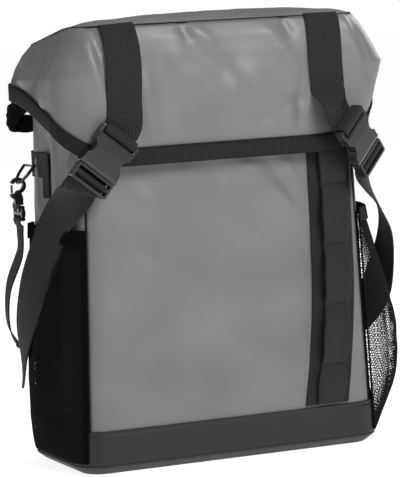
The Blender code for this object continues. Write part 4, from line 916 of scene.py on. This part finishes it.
def make_lid():
    """The hood: a front and sides of one cloth, a top panel, and the seam between them."""
    rows = []
    for step in range(44):
        t = step / 43
        rows.append([lid_point(k, lerp(soft_hem(k), CROWN - TOP_SEAM, t)) for k in range(RING)])
    seam = [lid_point(k, CROWN - TOP_SEAM) for k in range(RING)]
    centre = Vector((0.012, -0.004, 0.0))
    for inward, down in ((0.0012, 0.0012), (0.0024, 0.0002)):
        row = []
        for p in seam:
            in_plan = (centre - p).to_2d().normalized().to_3d()
            row.append(p + in_plan * inward - Vector((0, 0, down)))
        rows.append(row)
    for step in range(1, 26):
        t = step / 25
        z = lerp(CROWN - TOP_SEAM + 0.0006, CROWN - 0.0012, math.sin(t * math.pi / 2))
        row = []
        for k in range(RING):
            p = lid_point(k, z, relief=False)
            inner = p.lerp(Vector((centre.x, centre.y, p.z)), 0.50 * t**2)
            lift = 0.0016 * rumple(inner.x, inner.y, 0.0, 0.035, 4.4) * smooth(t * 3)
            row.append(inner + Vector((0, 0, min(0.0012, lift - 0.0004))))
        rows.append(row)
    last = rows[-1]
    for share in (0.75, 0.5, 0.25, 0.06):
        row = []
        for p in last:
            flat = Vector((centre.x, centre.y, CROWN - 0.0014))
            here = flat.lerp(p, share)
            here.z += min(0.0010, 0.0014 * rumple(here.x, here.y, 0.0, 0.035, 4.4))
            row.append(here)
        rows.append(row)
    lid = grid("lid_cloth", rows, POLYESTER, closed=True)
    bm = bmesh.new()
    bm.from_mesh(lid.data)
    bm.verts.ensure_lookup_table()
    top = (len(rows) - 1) * RING
    bm.faces.new([bm.verts[top + k] for k in range(RING)])
    bm.to_mesh(lid.data)
    bm.free()
    thicken(lid, 0.0012, -1)
    piece(lid, "lid", "coated_fabric", "lid_shell")
    make_binding()
    above = [p + Vector((0, 0, -0.0024)) for p in seam] + [seam[0] + Vector((0, 0, -0.0024))]
    out = flat_normals(above)
    stitches = seam_stitches("top_seam_stitches", above, out, GREY_THREAD, 0.0030, 0.0003)
    piece(stitches, "lid", "coated_fabric")
    # Painted shade: a dark grosgrain tape laid in the top seam's groove stands in for the seam's
    # thin shadow line.
    groove = [lid_point(k, CROWN - TOP_SEAM, -0.0006, relief=False) for k in range(RING)]
    groove.append(groove[0].copy())
    cord = tape("top_seam_painted_shade_tape", groove, flat_normals(groove), 0.0021, 0.0016, GROSGRAIN)
    piece(cord, "lid", "binding")


def make_binding():
    """Tape folded over the hem, outside and inside, stitched near its upper edge."""
    first = FRONT_STEPS + 2 * CORNER_STEPS + SIDE_STEPS
    around = list(range(first + FRONT_STEPS, RING + first + 1))
    rows = []
    inner = [(-0.0030, 0.55), (-0.0030, 0.0), (-0.0016, -0.055), (0.0004, -0.05)]
    outer = [(0.0010, 0.0), (0.0011, 0.25), (0.0012, 0.5), (0.0012, 0.75), (0.0010, 1.0)]
    for offset, share in inner + outer:
        row = []
        for k in around:
            z = soft_hem(k) + BINDING_HEIGHT * share
            ripple = 0.0003 * noise.noise(Vector((k * 0.35, share * 2, 5.0)))
            row.append(lid_point(k, z, offset + GAP + ripple, relief=False))
        rows.append(row)
    binding = grid("hem_binding", rows, GROSGRAIN)
    thicken(binding, 0.0007, 1)
    piece(binding, "lid", "binding", "lid_binding")
    path = [lid_point(k, soft_hem(k) + BINDING_HEIGHT * 0.88, 0.0022, relief=False) for k in around]
    stitches = seam_stitches("hem_stitches", path, flat_normals(path), THREAD, 0.0032, 0.0003)
    piece(stitches, "lid", "binding")


# ---------------------------------------------------------------- buckles and their straps

BUCKLE_LEAN = math.radians(39.0)
RIGHT_BUCKLE_TURN = math.radians(27.0)
STRAP_CLEAR = BUCKLE_THICKNESS / 2 + GAP + WEBBING_THICKNESS
LID_FRONT = DEPTH / 2 + LID_STANDOFF_FRONT + BINDING_THICKNESS + GAP
BUCKLE_Z = HEM_Z + 0.0135
SOCKET_LOW, SOCKET_HIGH = -SOCKET_LENGTH / 2, SOCKET_LENGTH / 2


def axes_matrix(origin, x_axis, y_axis, z_axis):
    matrix = Matrix((x_axis, y_axis, z_axis)).transposed().to_4x4()
    matrix.translation = origin
    return matrix


def buckle_frame(side):
    """The buckle's place: x across it, y up its strap, z away from the bag."""
    turn = RIGHT_BUCKLE_TURN if side > 0 else 0.0
    out = Vector((side * math.sin(turn), -math.cos(turn), 0.0))
    level = Vector((-side * math.cos(turn), -math.sin(turn), 0.0))
    up = level * math.sin(BUCKLE_LEAN) + Vector((0, 0, 1)) * math.cos(BUCKLE_LEAN)
    x = side * (UPPER_STRAP_X + 0.0245)
    y = -(LID_FRONT + STRAP_CLEAR + WEBBING_THICKNESS + 0.0005)
    if side > 0:
        y -= 0.0032
    return axes_matrix(Vector((x, y, BUCKLE_Z)), up.cross(out), up, out)


def make_upper_strap(name, side, place):
    """From the lid's top seam down its front, turned, and round the socket's bar."""
    stand = GAP + BINDING_THICKNESS + GAP + WEBBING_THICKNESS / 2
    x = side * UPPER_STRAP_X
    points, normals = [], []
    for below in (0.0085, 0.012, 0.018, 0.027, 0.040, 0.058, 0.078, 0.090):
        sway = 0.0012 * math.sin(below * 60 + side)
        points.append(lid_front(x + sway, CROWN - below, stand))
        slope = clamp(0.9 - below / 0.03)
        normals.append(Vector((0, -1, slope)).normalized())
    back = -(STRAP_CLEAR - WEBBING_THICKNESS / 2)
    turn = place.to_3x3()
    for up, deep in ((0.012, 0.0006), (0.002, 0.0012), (-0.008, 0.0012)):
        points.append(place @ Vector((0, SOCKET_HIGH + up, back - deep)))
        normals.append(turn @ Vector((0, 0, 1)))
    steps = 6
    path = smooth_path(points, steps)
    facing = []
    for k in range(len(path)):
        a = normals[min(k // steps, len(normals) - 1)]
        b = normals[min(k // steps + 1, len(normals) - 1)]
        facing.append(a.lerp(b, (k % steps) / steps).normalized())
    strap = tape(name + "_upper_webbing", path, facing, WEBBING_WIDTH, WEBBING_THICKNESS, WEBBING)
    piece(strap, "lid", "webbing", name + "_upper_strap")
    make_bar_loop(name, place)


def make_bar_loop(name, place):
    """The webbing's end, folded round the socket's bar and sewn back on itself."""
    half = BUCKLE_THICKNESS / 2
    top = SOCKET_HIGH + 0.0006 + WEBBING_THICKNESS / 2
    low = SOCKET_HIGH - 0.0045 - 0.0010
    section = [(top - 0.0020, -half - 0.0005), (top, -half * 0.7), (top + 0.0006, 0.0)]
    section += [(top, half * 0.62), (top - 0.0016, half * 0.92), (low, half * 0.92 + 0.0003)]
    section += [(low - 0.0018, half * 0.55), (low - 0.0020, 0.0)]
    path = smooth_path([place @ Vector((0, y, z)) for y, z in section], 4)
    normals = loop_normals(path, place.to_3x3() @ Vector((1, 0, 0)))
    width = WEBBING_WIDTH - 0.0006
    loop = tape(name + "_bar_loop", path, normals, width, WEBBING_THICKNESS * 0.8, WEBBING)
    piece(loop, "lid", "webbing")


def pocket_fullness(z):
    """How full the pocket is at a height: none at its foot, most low down, less at its elastic."""
    t = clamp((z - WALL_FOOT) / (POCKET_TOP - WALL_FOOT))
    return math.sin(0.9 * math.pi * t**0.6)


POCKET_OFFSET = GAP + BOOT_THICKNESS + GAP
SEAM_Y = DEPTH / 2 - CORNER_RADIUS * (1 - math.cos(math.radians(45)))


def pocket_swell(y, z, bulge):
    share = clamp((y + SEAM_Y) / (2 * SEAM_Y))
    return bulge * pocket_fullness(z) * math.sin(math.pi * share)


def pocket_outer(y, z, bulge):
    """How far out the pocket and its hem reach at a point of the side."""
    swell = pocket_swell(y, min(z, POCKET_TOP), bulge)
    fade = 1.0 if z <= POCKET_TOP else max(0.0, 1.0 - (z - POCKET_TOP) / 0.05)
    skin = POCKET_OFFSET + POCKET_THICKNESS + GAP + POCKET_HEM_THICKNESS
    return half_width(z) + skin + swell * fade


def pocket_normal(y, z, bulge, side):
    step = 0.004
    slope_y = (pocket_outer(y + step, z, bulge) - pocket_outer(y - step, z, bulge)) / (2 * step)
    slope_z = (pocket_outer(y, z + step, bulge) - pocket_outer(y, z - step, bulge)) / (2 * step)
    return Vector((side, -slope_y, -slope_z)).normalized()


def make_lower_strap(name, side, place):
    """From behind the plug, round the corner and over the pocket, to the back edge."""
    bulge, belly = POCKET_BULGE[side], STRAP_BELLY[side]
    back = -(STRAP_CLEAR - WEBBING_THICKNESS / 2)
    behind_plug = ((0.001, 0.0), (0.011, 0.0014), (0.021, 0.0056))
    points = [place @ Vector((0, SOCKET_LOW - down, back - deep)) for down, deep in behind_plug]
    half = DEPTH / 2
    top = WALL_HEIGHT - 0.133
    for share, down, stand in (
        (-0.62, 0.000, 0.0057),
        (-0.30, 0.205, 0.0055),
        (0.02, 0.449, 0.0050),
        (0.38, 0.705, 0.0052),
        (0.72, 0.903, 0.0052),
    ):
        y, z = share * half, lerp(top, STRAP_END_Z, down)
        stand += belly * max(0.0, 1 - abs(down - 0.193) / 0.34)
        points.append(Vector((side * (pocket_outer(y, z, bulge) + stand), y, z)))
    leaving = len(behind_plug)
    points.insert(leaving, points[leaving - 1].lerp(points[leaving], 0.25))
    end_x = half_width(STRAP_END_Z) + 0.0075
    points.append(Vector((side * end_x, half * 0.99, STRAP_END_Z)))
    steps = 9
    path = smooth_path(points, steps)
    straight = steps * (len(behind_plug) - 1)
    normals = []
    for k, point in enumerate(path):
        facing = wall_normal(point.x, point.y, point.z)
        if abs(point.y) < SEAM_Y * 0.9:
            facing = pocket_normal(point.y, point.z, bulge, side)
        start = place.to_3x3() @ Vector((0, 0, 1))
        turned = clamp((k - straight) / (1.5 * steps))
        untwisted = 0.42 * clamp((len(path) - k) / (3.5 * steps)) if side < 0 else 0.0
        normals.append(start.lerp(facing, turned * (1 - untwisted)).normalized())
    for _ in range(6):
        eased = []
        for k, normal in enumerate(normals):
            near = normals[max(k - 1, 0)] + normal + normals[min(k + 1, len(normals) - 1)]
            eased.append(near.normalized())
        normals = eased
    last = len(path) - 1
    widths = [1.0 - 0.55 * clamp((k - last + 5) / 5) ** 3 for k in range(len(path))]
    strap = tape(
        name + "_lower_webbing", path, normals, WEBBING_WIDTH, WEBBING_THICKNESS, WEBBING, widths
    )
    piece(strap, "bag", "webbing", name + "_lower_strap")
    make_ladder_loop(name, place)


def make_ladder_loop(name, place):
    """The lower webbing threaded over the plug's middle bar."""
    low = SOCKET_LOW - 0.0005 - PLUG_BASE_LENGTH
    bar = 0.0026
    slot = (PLUG_BASE_LENGTH - 3 * bar) / 2
    middle = low + bar + slot + bar / 2
    reach = 0.0044
    section = [(middle + 0.0030, -0.0052), (middle + 0.0028, 0.0), (middle + 0.0018, reach)]
    section += [(middle, reach + 0.0004), (middle - 0.0018, reach), (middle - 0.0028, 0.0)]
    section += [(middle - 0.0030, -0.0052)]
    path = smooth_path([place @ Vector((0, y, z)) for y, z in section], 4)
    normals = loop_normals(path, place.to_3x3() @ Vector((1, 0, 0)))
    width = WEBBING_WIDTH - 0.0004
    loop = tape(name + "_ladder_loop", path, normals, width, WEBBING_THICKNESS * 0.7, WEBBING)
    piece(loop, name + "_plug", "webbing")


# ---------------------------------------------------------------- pockets


def pocket_point(side, t, z, offset=0.0):
    """A point of a side pocket: t runs from its front seam (0) to its back seam (1)."""
    ring = wall_ring(z, POCKET_OFFSET)
    first, last = FRONT_RIGHT_SEAM, BACK_RIGHT_SEAM
    place = first + t * (last - first)
    k = int(min(place, last - 1))
    a, b = Vector(ring[k]), Vector(ring[k + 1])
    p = a.lerp(b, place - k)
    ahead = b - a
    swell = pocket_swell(p.y, z, POCKET_BULGE[side])
    sag = 0.0016 * rumple(p.x, p.y, z, 0.030, 6.0 + side) * math.sin(math.pi * t)
    normal = Vector((ahead.y, -ahead.x)).normalized()
    out = offset + sag
    return Vector((side * (p.x + swell + normal.x * out), p.y + normal.y * out, z))


def make_pocket(name, side):
    """The side pocket: a real net of thin strands, with a taped hem and taped seams.

    The real cells are about 2 mm; they are drawn at 3 mm so that the net reads.
    """
    cell = 0.0031
    girth = 0.150 if side < 0 else 0.190
    columns = int(girth / cell)
    rows = int((POCKET_TOP - WALL_FOOT) / (cell * 0.87))
    bm = bmesh.new()
    cache = {}

    def vertex(i, j):
        if (i, j) not in cache:
            t = i / (2 * columns)
            z = lerp(WALL_FOOT, POCKET_TOP - 0.001, j / (3 * rows))
            cache[(i, j)] = bm.verts.new(pocket_point(side, clamp(t), z, 0.0007))
        return cache[(i, j)]

    for row in range(rows):
        for column in range(columns):
            i = 2 * column + (row % 2)
            if i + 2 > 2 * columns:
                continue
            j = 3 * row
            corners = [(i, j + 1), (i + 1, j), (i + 2, j + 1)]
            corners += [(i + 2, j + 3), (i + 1, j + 4), (i, j + 3)]
            corners = [(a, min(b, 3 * rows)) for a, b in corners]
            loop = []
            for corner in corners:
                v = vertex(*corner)
                if v not in loop:
                    loop.append(v)
            if len(loop) >= 3 and not bm.faces.get(loop):
                bm.faces.new(loop)
    mesh = bpy.data.meshes.new(name + "_pocket_net")
    bm.to_mesh(mesh)
    bm.free()
    net = new_object(name + "_pocket_net", mesh, NET)
    wires = net.modifiers.new("strands", "WIREFRAME")
    wires.thickness = 0.00095
    wires.use_even_offset = False
    wires.use_boundary = True
    settle(net)
    piece(net, "bag", "mesh", name + "_mesh_pocket")
    hem = []
    ts = heights(0.0, 1.0, 60)
    outer = POCKET_THICKNESS + 2 * GAP
    for z in heights(POCKET_TOP - POCKET_HEM_HEIGHT, POCKET_TOP, 6):
        gather = [0.0007 * math.sin(t * 150) * math.sin(math.pi * t) for t in ts]
        hem.append([pocket_point(side, t, z, outer + g) for t, g in zip(ts, gather)])
    hem = grid(name + "_hem_tape", hem, LINING if side < 0 else GROSGRAIN)
    thicken(hem, 0.0010, 1 if side > 0 else -1)
    piece(hem, "bag", "binding", name + "_pocket_hem")
    for which, t in (("front", 0.012), ("back", 0.988)):
        levels = heights(WALL_FOOT + 0.001, POCKET_TOP, 60)
        path = [pocket_point(side, t, z, 0.0013) for z in levels]
        normals = [wall_normal(p.x, p.y, p.z) for p in path]
        seam = tape(f"{name}_{which}_seam_tape", path, normals, 0.0040, 0.0009, LINING)
        piece(seam, "bag", "binding")


# ---------------------------------------------------------------- daisy chain


def front_face(x, z, offset):
    """A point on the front panel, moved outwards by offset."""
    flat = half_width(z) - CORNER_RADIUS
    share = clamp((x / flat + 1) / 2)
    y = -(DEPTH / 2 + offset) - front_bulge(z) * math.sin(math.pi * share)
    beyond = abs(x) - flat
    if beyond > 0:
        radius = CORNER_RADIUS + offset
        y = -(DEPTH / 2 - CORNER_RADIUS) - math.sqrt(max(0.0, radius**2 - beyond**2))
    return Vector((x, y, z))


def daisy_centre(z):
    lean = max(0.0, 1 - (z - DAISY_FOOT) / 0.14)
    return UPPER_STRAP_X + 0.005 - DAISY_LEAN * lean**1.5


def daisy_tacks():
    last_tack = DAISY_TOP - DAISY_TACK_SPACING / 2
    loops = int((last_tack - DAISY_FIRST_TACK) / DAISY_TACK_SPACING) + 1
    tacks = [DAISY_FIRST_TACK + k * DAISY_TACK_SPACING for k in range(loops)]
    return [DAISY_FOOT] + tacks + [DAISY_TOP]


def make_daisy_chain():
    """Wide webbing sewn to the panel, and narrower webbing tacked over it in loops."""
    rows = []
    for z in heights(DAISY_FOOT - 0.001, DAISY_TOP, 90):
        middle, half = daisy_centre(z), DAISY_BACKING_WIDTH / 2
        across = [lerp(middle - half, middle + half, k / 24) for k in range(25)]
        rows.append([front_face(x, z, GAP + 0.0004 * rumple(x, 0, z, 0.02, 2.0)) for x in across])
    backing = grid("chain_backing_webbing", rows, WEBBING)
    thicken(backing, WEBBING_THICKNESS, 1)
    piece(backing, "bag", "webbing", "daisy_chain_backing")
    laid = 3 * GAP + WEBBING_THICKNESS
    tacks = daisy_tacks()
    rows = []
    for number, (low, high) in enumerate(zip(tacks, tacks[1:])):
        tall = min(1.0, (high - low) / DAISY_TACK_SPACING) ** 2
        steps = 26
        for k in range(steps + (high is tacks[-1])):
            t = k / steps
            z = lerp(low, high, t)
            rise = DAISY_STANDOFF * tall * math.sin(math.pi * t) ** 0.7 if 0 < t < 1 else 0.0
            pull = 0.0030 * math.sin(math.pi * t) ** 2
            right = daisy_centre(z) + DAISY_BACKING_WIDTH / 2 - 0.0085 + 0.4 * pull
            left = daisy_centre(z) - DAISY_BACKING_WIDTH / 2 + 0.0125 - pull
            row = []
            for c in range(17):
                s = c / 16
                lift = rise * (1.0 - 0.25 * s + 0.12 * math.sin(5 * s + number))
                row.append(front_face(lerp(left, right, s), z, laid + min(lift, DAISY_STANDOFF)))
            rows.append(row)
    # The loops take the lighter copy of the webbing, painted light for their raised relief.
    loops = grid("chain_loop_webbing", rows, LOOP_WEBBING_PAINTED_LIGHT)
    thicken(loops, WEBBING_THICKNESS, 1)
    piece(loops, "bag", "webbing", "daisy_chain_loops")
    # Three rows of dark thread across each tack: real bar tacks, whose dark band also stands in for
    # the shade in the pinch at the tack (painted shade).
    for number, z in enumerate(tacks[1:-1]):
        for line in (-0.0012, 0.0, 0.0012):
            right = daisy_centre(z) + DAISY_BACKING_WIDTH / 2 - 0.010
            left = daisy_centre(z) - DAISY_BACKING_WIDTH / 2 + 0.014
            xs = heights(left, right, 10)
            path = [front_face(x, z + line, laid + WEBBING_THICKNESS + 0.0002) for x in xs]
            row = seam_stitches(
                f"bar_tack_and_shade_{number}_{round(line * 10000) + 12:02d}",
                path,
                [Vector((0, -1, 0))] * len(path),
                THREAD,
                0.0015,
                0.0005,
            )
            piece(row, "bag", "webbing")


# ---------------------------------------------------------------- side tabs and carry straps

RING_Z = WALL_HEIGHT - 0.0845
TAB_LOW, TAB_MIDDLE, TAB_HIGH = (WALL_HEIGHT - below for below in (0.117, 0.096, 0.0695))
RING_WIRE = 0.0017
RING_STAND = 0.0135
RING_DROP = 0.017
HOOK_INNER = 0.0052
HOOK_SHANK = 0.0205
SLIDER_HEIGHT = 0.016


def make_side_tab(name, side):
    """A webbing tab along the side from the back seam, with its sewn end hanging down."""
    offset = GAP + WEBBING_THICKNESS / 2 + 0.0002
    width = TAB_HIGH - TAB_MIDDLE
    middle = (TAB_HIGH + TAB_MIDDLE) / 2
    points, normals = [], []
    for y in heights(DEPTH / 2 - 0.012, 0.022, 8):
        points.append(Vector((side * (half_width(middle) + offset), y, middle)))
    for p in points:
        if p.y > DEPTH / 2 - CORNER_RADIUS:
            beyond = p.y - (DEPTH / 2 - CORNER_RADIUS)
            radius = CORNER_RADIUS + offset
            inner = half_width(middle) - CORNER_RADIUS
            p.x = side * (inner + math.sqrt(radius**2 - beyond**2))
    for p in points:
        normals.append(wall_normal(p.x, p.y, p.z))
    level = tape(name + "_tab_webbing", points, normals, width, WEBBING_THICKNESS, WEBBING)
    piece(level, "bag", "webbing", name + "_side_tab")
    hang = 0.0185
    y = 0.0135
    x = side * (half_width(middle) + offset + WEBBING_THICKNESS * 0.4)
    drop = [Vector((x, y, z)) for z in heights(TAB_HIGH - 0.001, TAB_LOW, 10)]
    facing = [Vector((side, 0, 0))] * len(drop)
    end = tape(name + "_tab_end", drop, facing, hang, WEBBING_THICKNESS * 0.9, WEBBING)
    piece(end, "bag", "webbing")
    out = side * (half_width(middle) + offset + WEBBING_THICKNESS + 0.0002)
    box = [(y - 0.007, TAB_LOW + 0.003), (y + 0.007, TAB_LOW + 0.003)]
    box += [(y + 0.007, TAB_LOW + 0.012), (y - 0.007, TAB_LOW + 0.012)]
    box.append(box[0])
    path = [Vector((out, a, z)) for a, z in box]
    stitches = seam_stitches(
        name + "_tab_stitches", path, [Vector((side, 0, 0))] * 5, THREAD, 0.0024, 0.0003
    )
    piece(stitches, "bag", "webbing")


def make_side_strap(name, side):
    """The narrow carry strap, from under the slider down to its anchor on the back edge."""
    bulge = POCKET_BULGE[side]
    wire_x = half_width(RING_Z) + GAP + WEBBING_THICKNESS + RING_STAND + 0.003
    wire_y = (0.040 + DEPTH / 2 - 0.012) / 2 + 0.002
    foot = RING_Z - RING_DROP - (HOOK_INNER - RING_WIRE - 0.0006) - HOOK_SHANK - GAP - SLIDER_HEIGHT
    top = foot - 0.0045
    anchor_z = STRAP_END_Z + WEBBING_WIDTH / 2 + 0.007
    points = []
    for z in (top, top - 0.008):
        pocket = pocket_outer(wire_y - SIDE_WEBBING_WIDTH / 2, z, bulge)
        points.append(Vector((side * max(wire_x, pocket + 0.003), wire_y, z)))
    for share, back, stand in ((0.22, 0.71, 0.0085), (0.5, 0.95, 0.0140), (0.8, 1.06, 0.0100)):
        z, y = lerp(top, anchor_z, share), back * DEPTH / 2
        out = pocket_outer(min(y, SEAM_Y * 0.8), z, bulge) + stand
        points.append(Vector((side * out, y, z)))
    points.append(Vector((side * (half_width(anchor_z) + 0.0045), DEPTH / 2 + 0.009, anchor_z)))
    path = smooth_path(points, 10)
    normals = [Vector((side, 0.25 * k / len(path), 0)).normalized() for k in range(len(path))]
    width, thickness = SIDE_WEBBING_WIDTH, SIDE_STRAP_THICKNESS
    strap = tape(name + "_side_webbing", path, normals, width, thickness, WEBBING)
    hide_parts(name + "_side_strap")
    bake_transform(strap)
    make_slider_loop(name, side)


def make_slider_loop(name, side):
    """The strap's end, passed through the slider's slots and over its middle bar."""
    low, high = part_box(name + "_slider")
    x, y = side * (abs(low.x) + abs(high.x)) / 2, (low.y + high.y) / 2
    middle, reach = (low.z + high.z) / 2, (high.x - low.x) / 2 + 0.0012
    section = [(0.4, -0.0125), (0.9, -0.0095), (1.0, -0.0060), (0.35, -0.0042), (-0.9, -0.0030)]
    section += [(-1.0, 0.0), (-0.9, 0.0030), (0.35, 0.0042), (1.0, 0.0058), (1.0, 0.0090)]
    section += [(0.6, 0.0112)]
    path = smooth_path([(x + side * reach * out, y, middle + up) for out, up in section], 4)
    normals = loop_normals(path, Vector((0, 1, 0)))
    width = SIDE_WEBBING_WIDTH - 0.0006
    loop = tape(name + "_slider_loop", path, normals, width, SIDE_STRAP_THICKNESS * 0.7, WEBBING)
    piece(loop, name + "_ring_set", "webbing")


# ---------------------------------------------------------------- carried-over CAD pieces


def finish_cad():
    """Gives each rigid CAD piece its real finish, with its edges smoothed."""
    finishes = (
        (ACETAL, ("buckle_socket", "buckle_plug", "prong", "snap_hook", "slider", "rack_hook")),
        (ACETAL, ("hook_latch", "lower_hook", "cord_lock")),
        (ALUMINIUM, ("_rail",)),
        (STEEL, ("d_ring", "hook_gate", "screw")),
        (SHEET_PLASTIC, ("_board",)),
        (RIVET_BLUE, ("anchor_rivet",)),
    )
    for name, node in NODES.items():
        if node.hide_render:
            continue
        for material, words in finishes:
            if any(word in name for word in words):
                for slot in node.material_slots:
                    slot.material = material
        node.data.shade_smooth()
        node.data.set_sharp_from_angle(angle=math.radians(32))


def make_handle_grip():
    """The release handle: doubled webbing, stitched along both edges."""
    low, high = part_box("release_handle")
    y = (low.y + high.y) / 2
    half = (high.x - low.x) / 2 - 0.002
    foot, rise = low.z + 0.0006, high.z - low.z - 0.0022
    left = [(-half, 0.0), (-0.96 * half, 0.55), (-0.55 * half, 1.0)]
    bow = left + [(-x, share) for x, share in reversed(left)]
    path = smooth_path([(x, y, foot + rise * share) for x, share in bow], 9)
    normals = []
    for k in range(len(path)):
        ahead = path[min(k + 1, len(path) - 1)] - path[max(k - 1, 0)]
        normals.append(Vector((-ahead.z, 0, ahead.x)).normalized())
    grip = tape("handle_webbing", path, normals, high.y - low.y, 0.003, WEBBING)
    piece(grip, "handle", "webbing", "release_handle")


def make_drawcord():
    """The collar's cord: its CAD solid's own shape with smooth shading, not drawn again."""
    node = NODES["drawcord"]
    mesh = node.data.copy()
    mesh.materials.clear()
    cord = new_object("collar_drawcord", mesh, LINING)
    piece(cord, "bag", "cord", "drawcord")
    mesh.shade_smooth()


def make_lining_tuck():
    """Black lining bunched in a soft roll round the back left corner, sewn down at both ends."""
    points = ((-0.1560, 0.046, 0.3800), (-0.1635, 0.060, 0.3760), (-0.1685, 0.077, 0.3670))
    points += ((-0.1670, 0.092, 0.3590), (-0.1560, 0.0975, 0.3540), (-0.1430, 0.0900, 0.3530))
    points += ((-0.1340, 0.0790, 0.3540),)
    path = smooth_path(points, 9)
    rows = []
    for k, centre in enumerate(path):
        t = k / (len(path) - 1)
        full = 0.0125 * math.sin(math.pi * lerp(0.10, 0.93, t)) ** 0.6
        ahead = (path[min(k + 1, len(path) - 1)] - path[max(k - 1, 0)]).normalized()
        across = Vector((0, 0, 1)).cross(ahead).normalized()
        up = ahead.cross(across)
        row = []
        for c in range(40):
            angle = 2 * math.pi * c / 40
            crease = 0.20 * math.sin(3 * angle + 9 * t) + 0.13 * math.sin(7 * angle - 14 * t)
            size = full * (0.85 + crease * 0.5)
            row.append(centre + (across * 0.55 * math.cos(angle) + up * math.sin(angle)) * size)
        rows.append(row)
    tuck = grid("lining_tuck", rows, LINING, closed=True)
    bm = bmesh.new()
    bm.from_mesh(tuck.data)
    bmesh.ops.holes_fill(bm, edges=bm.edges)
    bmesh.ops.recalc_face_normals(bm, faces=bm.faces)
    bm.to_mesh(tuck.data)
    bm.free()
    piece(tuck, "bag", "binding")


def make_hinge_flap():
    """The strip of cloth that joins the hood's back to the bag's back, in its closed shape."""
    half = half_width(WALL_HEIGHT) - CORNER_RADIUS
    profile = ((0.0799, 0.3660), (0.0800, 0.3760), (0.0812, 0.3815), (0.0836, 0.3850))
    profile += ((0.0846, 0.3890), (0.0848, 0.3960), (0.0850, 0.4020))
    rows = []
    for point in smooth_path([(0, y, z) for y, z in profile], 4):
        rows.append([(x, point.y, point.z) for x in heights(half, -half, 40)])
    flap = grid("hinge_flap", rows, POLYESTER)
    thicken(flap, 0.0008, 0)
    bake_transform(flap)


def make_studio():
    """A plain pale floor and soft light from large panels."""
    bpy.ops.mesh.primitive_plane_add(size=60.0, location=(0, 0, -0.0002))
    floor = bpy.context.object
    floor.name = "floor"
    material, tree, shader = new_material("floor_paper")
    shader.inputs["Base Color"].default_value = linear("#dcdcdc")
    shader.inputs["Roughness"].default_value = 0.9
    shader.inputs["Specular IOR Level"].default_value = 0.1
    shader.inputs["Emission Color"].default_value = (1.0, 1.0, 1.0, 1.0)
    shader.inputs["Emission Strength"].default_value = 0.82
    floor.data.materials.append(material)
    world = bpy.data.worlds.new("studio")
    world.use_nodes = True
    tree = world.node_tree
    seen = add(tree, "LightPath").outputs["Is Camera Ray"]
    strength = add(tree, "MapRange", {"Value": seen, "To Min": 0.22, "To Max": 1.0})
    background = tree.nodes["Background"]
    background.inputs["Color"].default_value = (1.0, 1.0, 1.0, 1.0)
    tree.links.new(strength.outputs["Result"], background.inputs["Strength"])
    bpy.context.scene.world = world
    bpy.context.scene.view_settings.view_transform = "Standard"
    for name, place, target, size, power in (
        ("key", (0.7, -2.3, 1.9), (0.0, -0.05, 0.28), 1.3, 25.0),
        ("fill", (-2.4, -0.9, 0.9), (0.0, 0.0, 0.25), 1.2, 7.5),
        ("lid_light", (0.15, -1.05, 1.05), (0.02, -0.09, 0.43), 0.5, 8.8),
        ("top", (0.1, 0.6, 2.2), (0.0, 0.0, 0.3), 1.0, 5.0),
        ("rim", (1.8, 1.0, 1.1), (0.0, 0.0, 0.3), 0.9, 12.0),
    ):
        data = bpy.data.lights.new(name, "AREA")
        data.shape = "SQUARE"
        data.size = size
        data.energy = power
        light = bpy.data.objects.new(name, data)
        light.location = place
        light.rotation_euler = (Vector(target) - Vector(place)).to_track_quat("-Z", "Y").to_euler()
        bpy.context.scene.collection.objects.link(light)


# ---------------------------------------------------------------- assembly

make_walls()
make_corner_seams()
make_pocket_linings()
make_boot()
make_collar()
make_lid()
for side_name, direction in (("left", -1), ("right", 1)):
    buckle = buckle_frame(direction)
    make_upper_strap(side_name, direction, buckle)
    make_lower_strap(side_name, direction, buckle)
    make_pocket(side_name, direction)
    make_side_tab(side_name, direction)
    make_side_strap(side_name, direction)
make_daisy_chain()
make_handle_grip()
make_drawcord()
make_lining_tuck()
make_hinge_flap()
finish_cad()
make_studio()
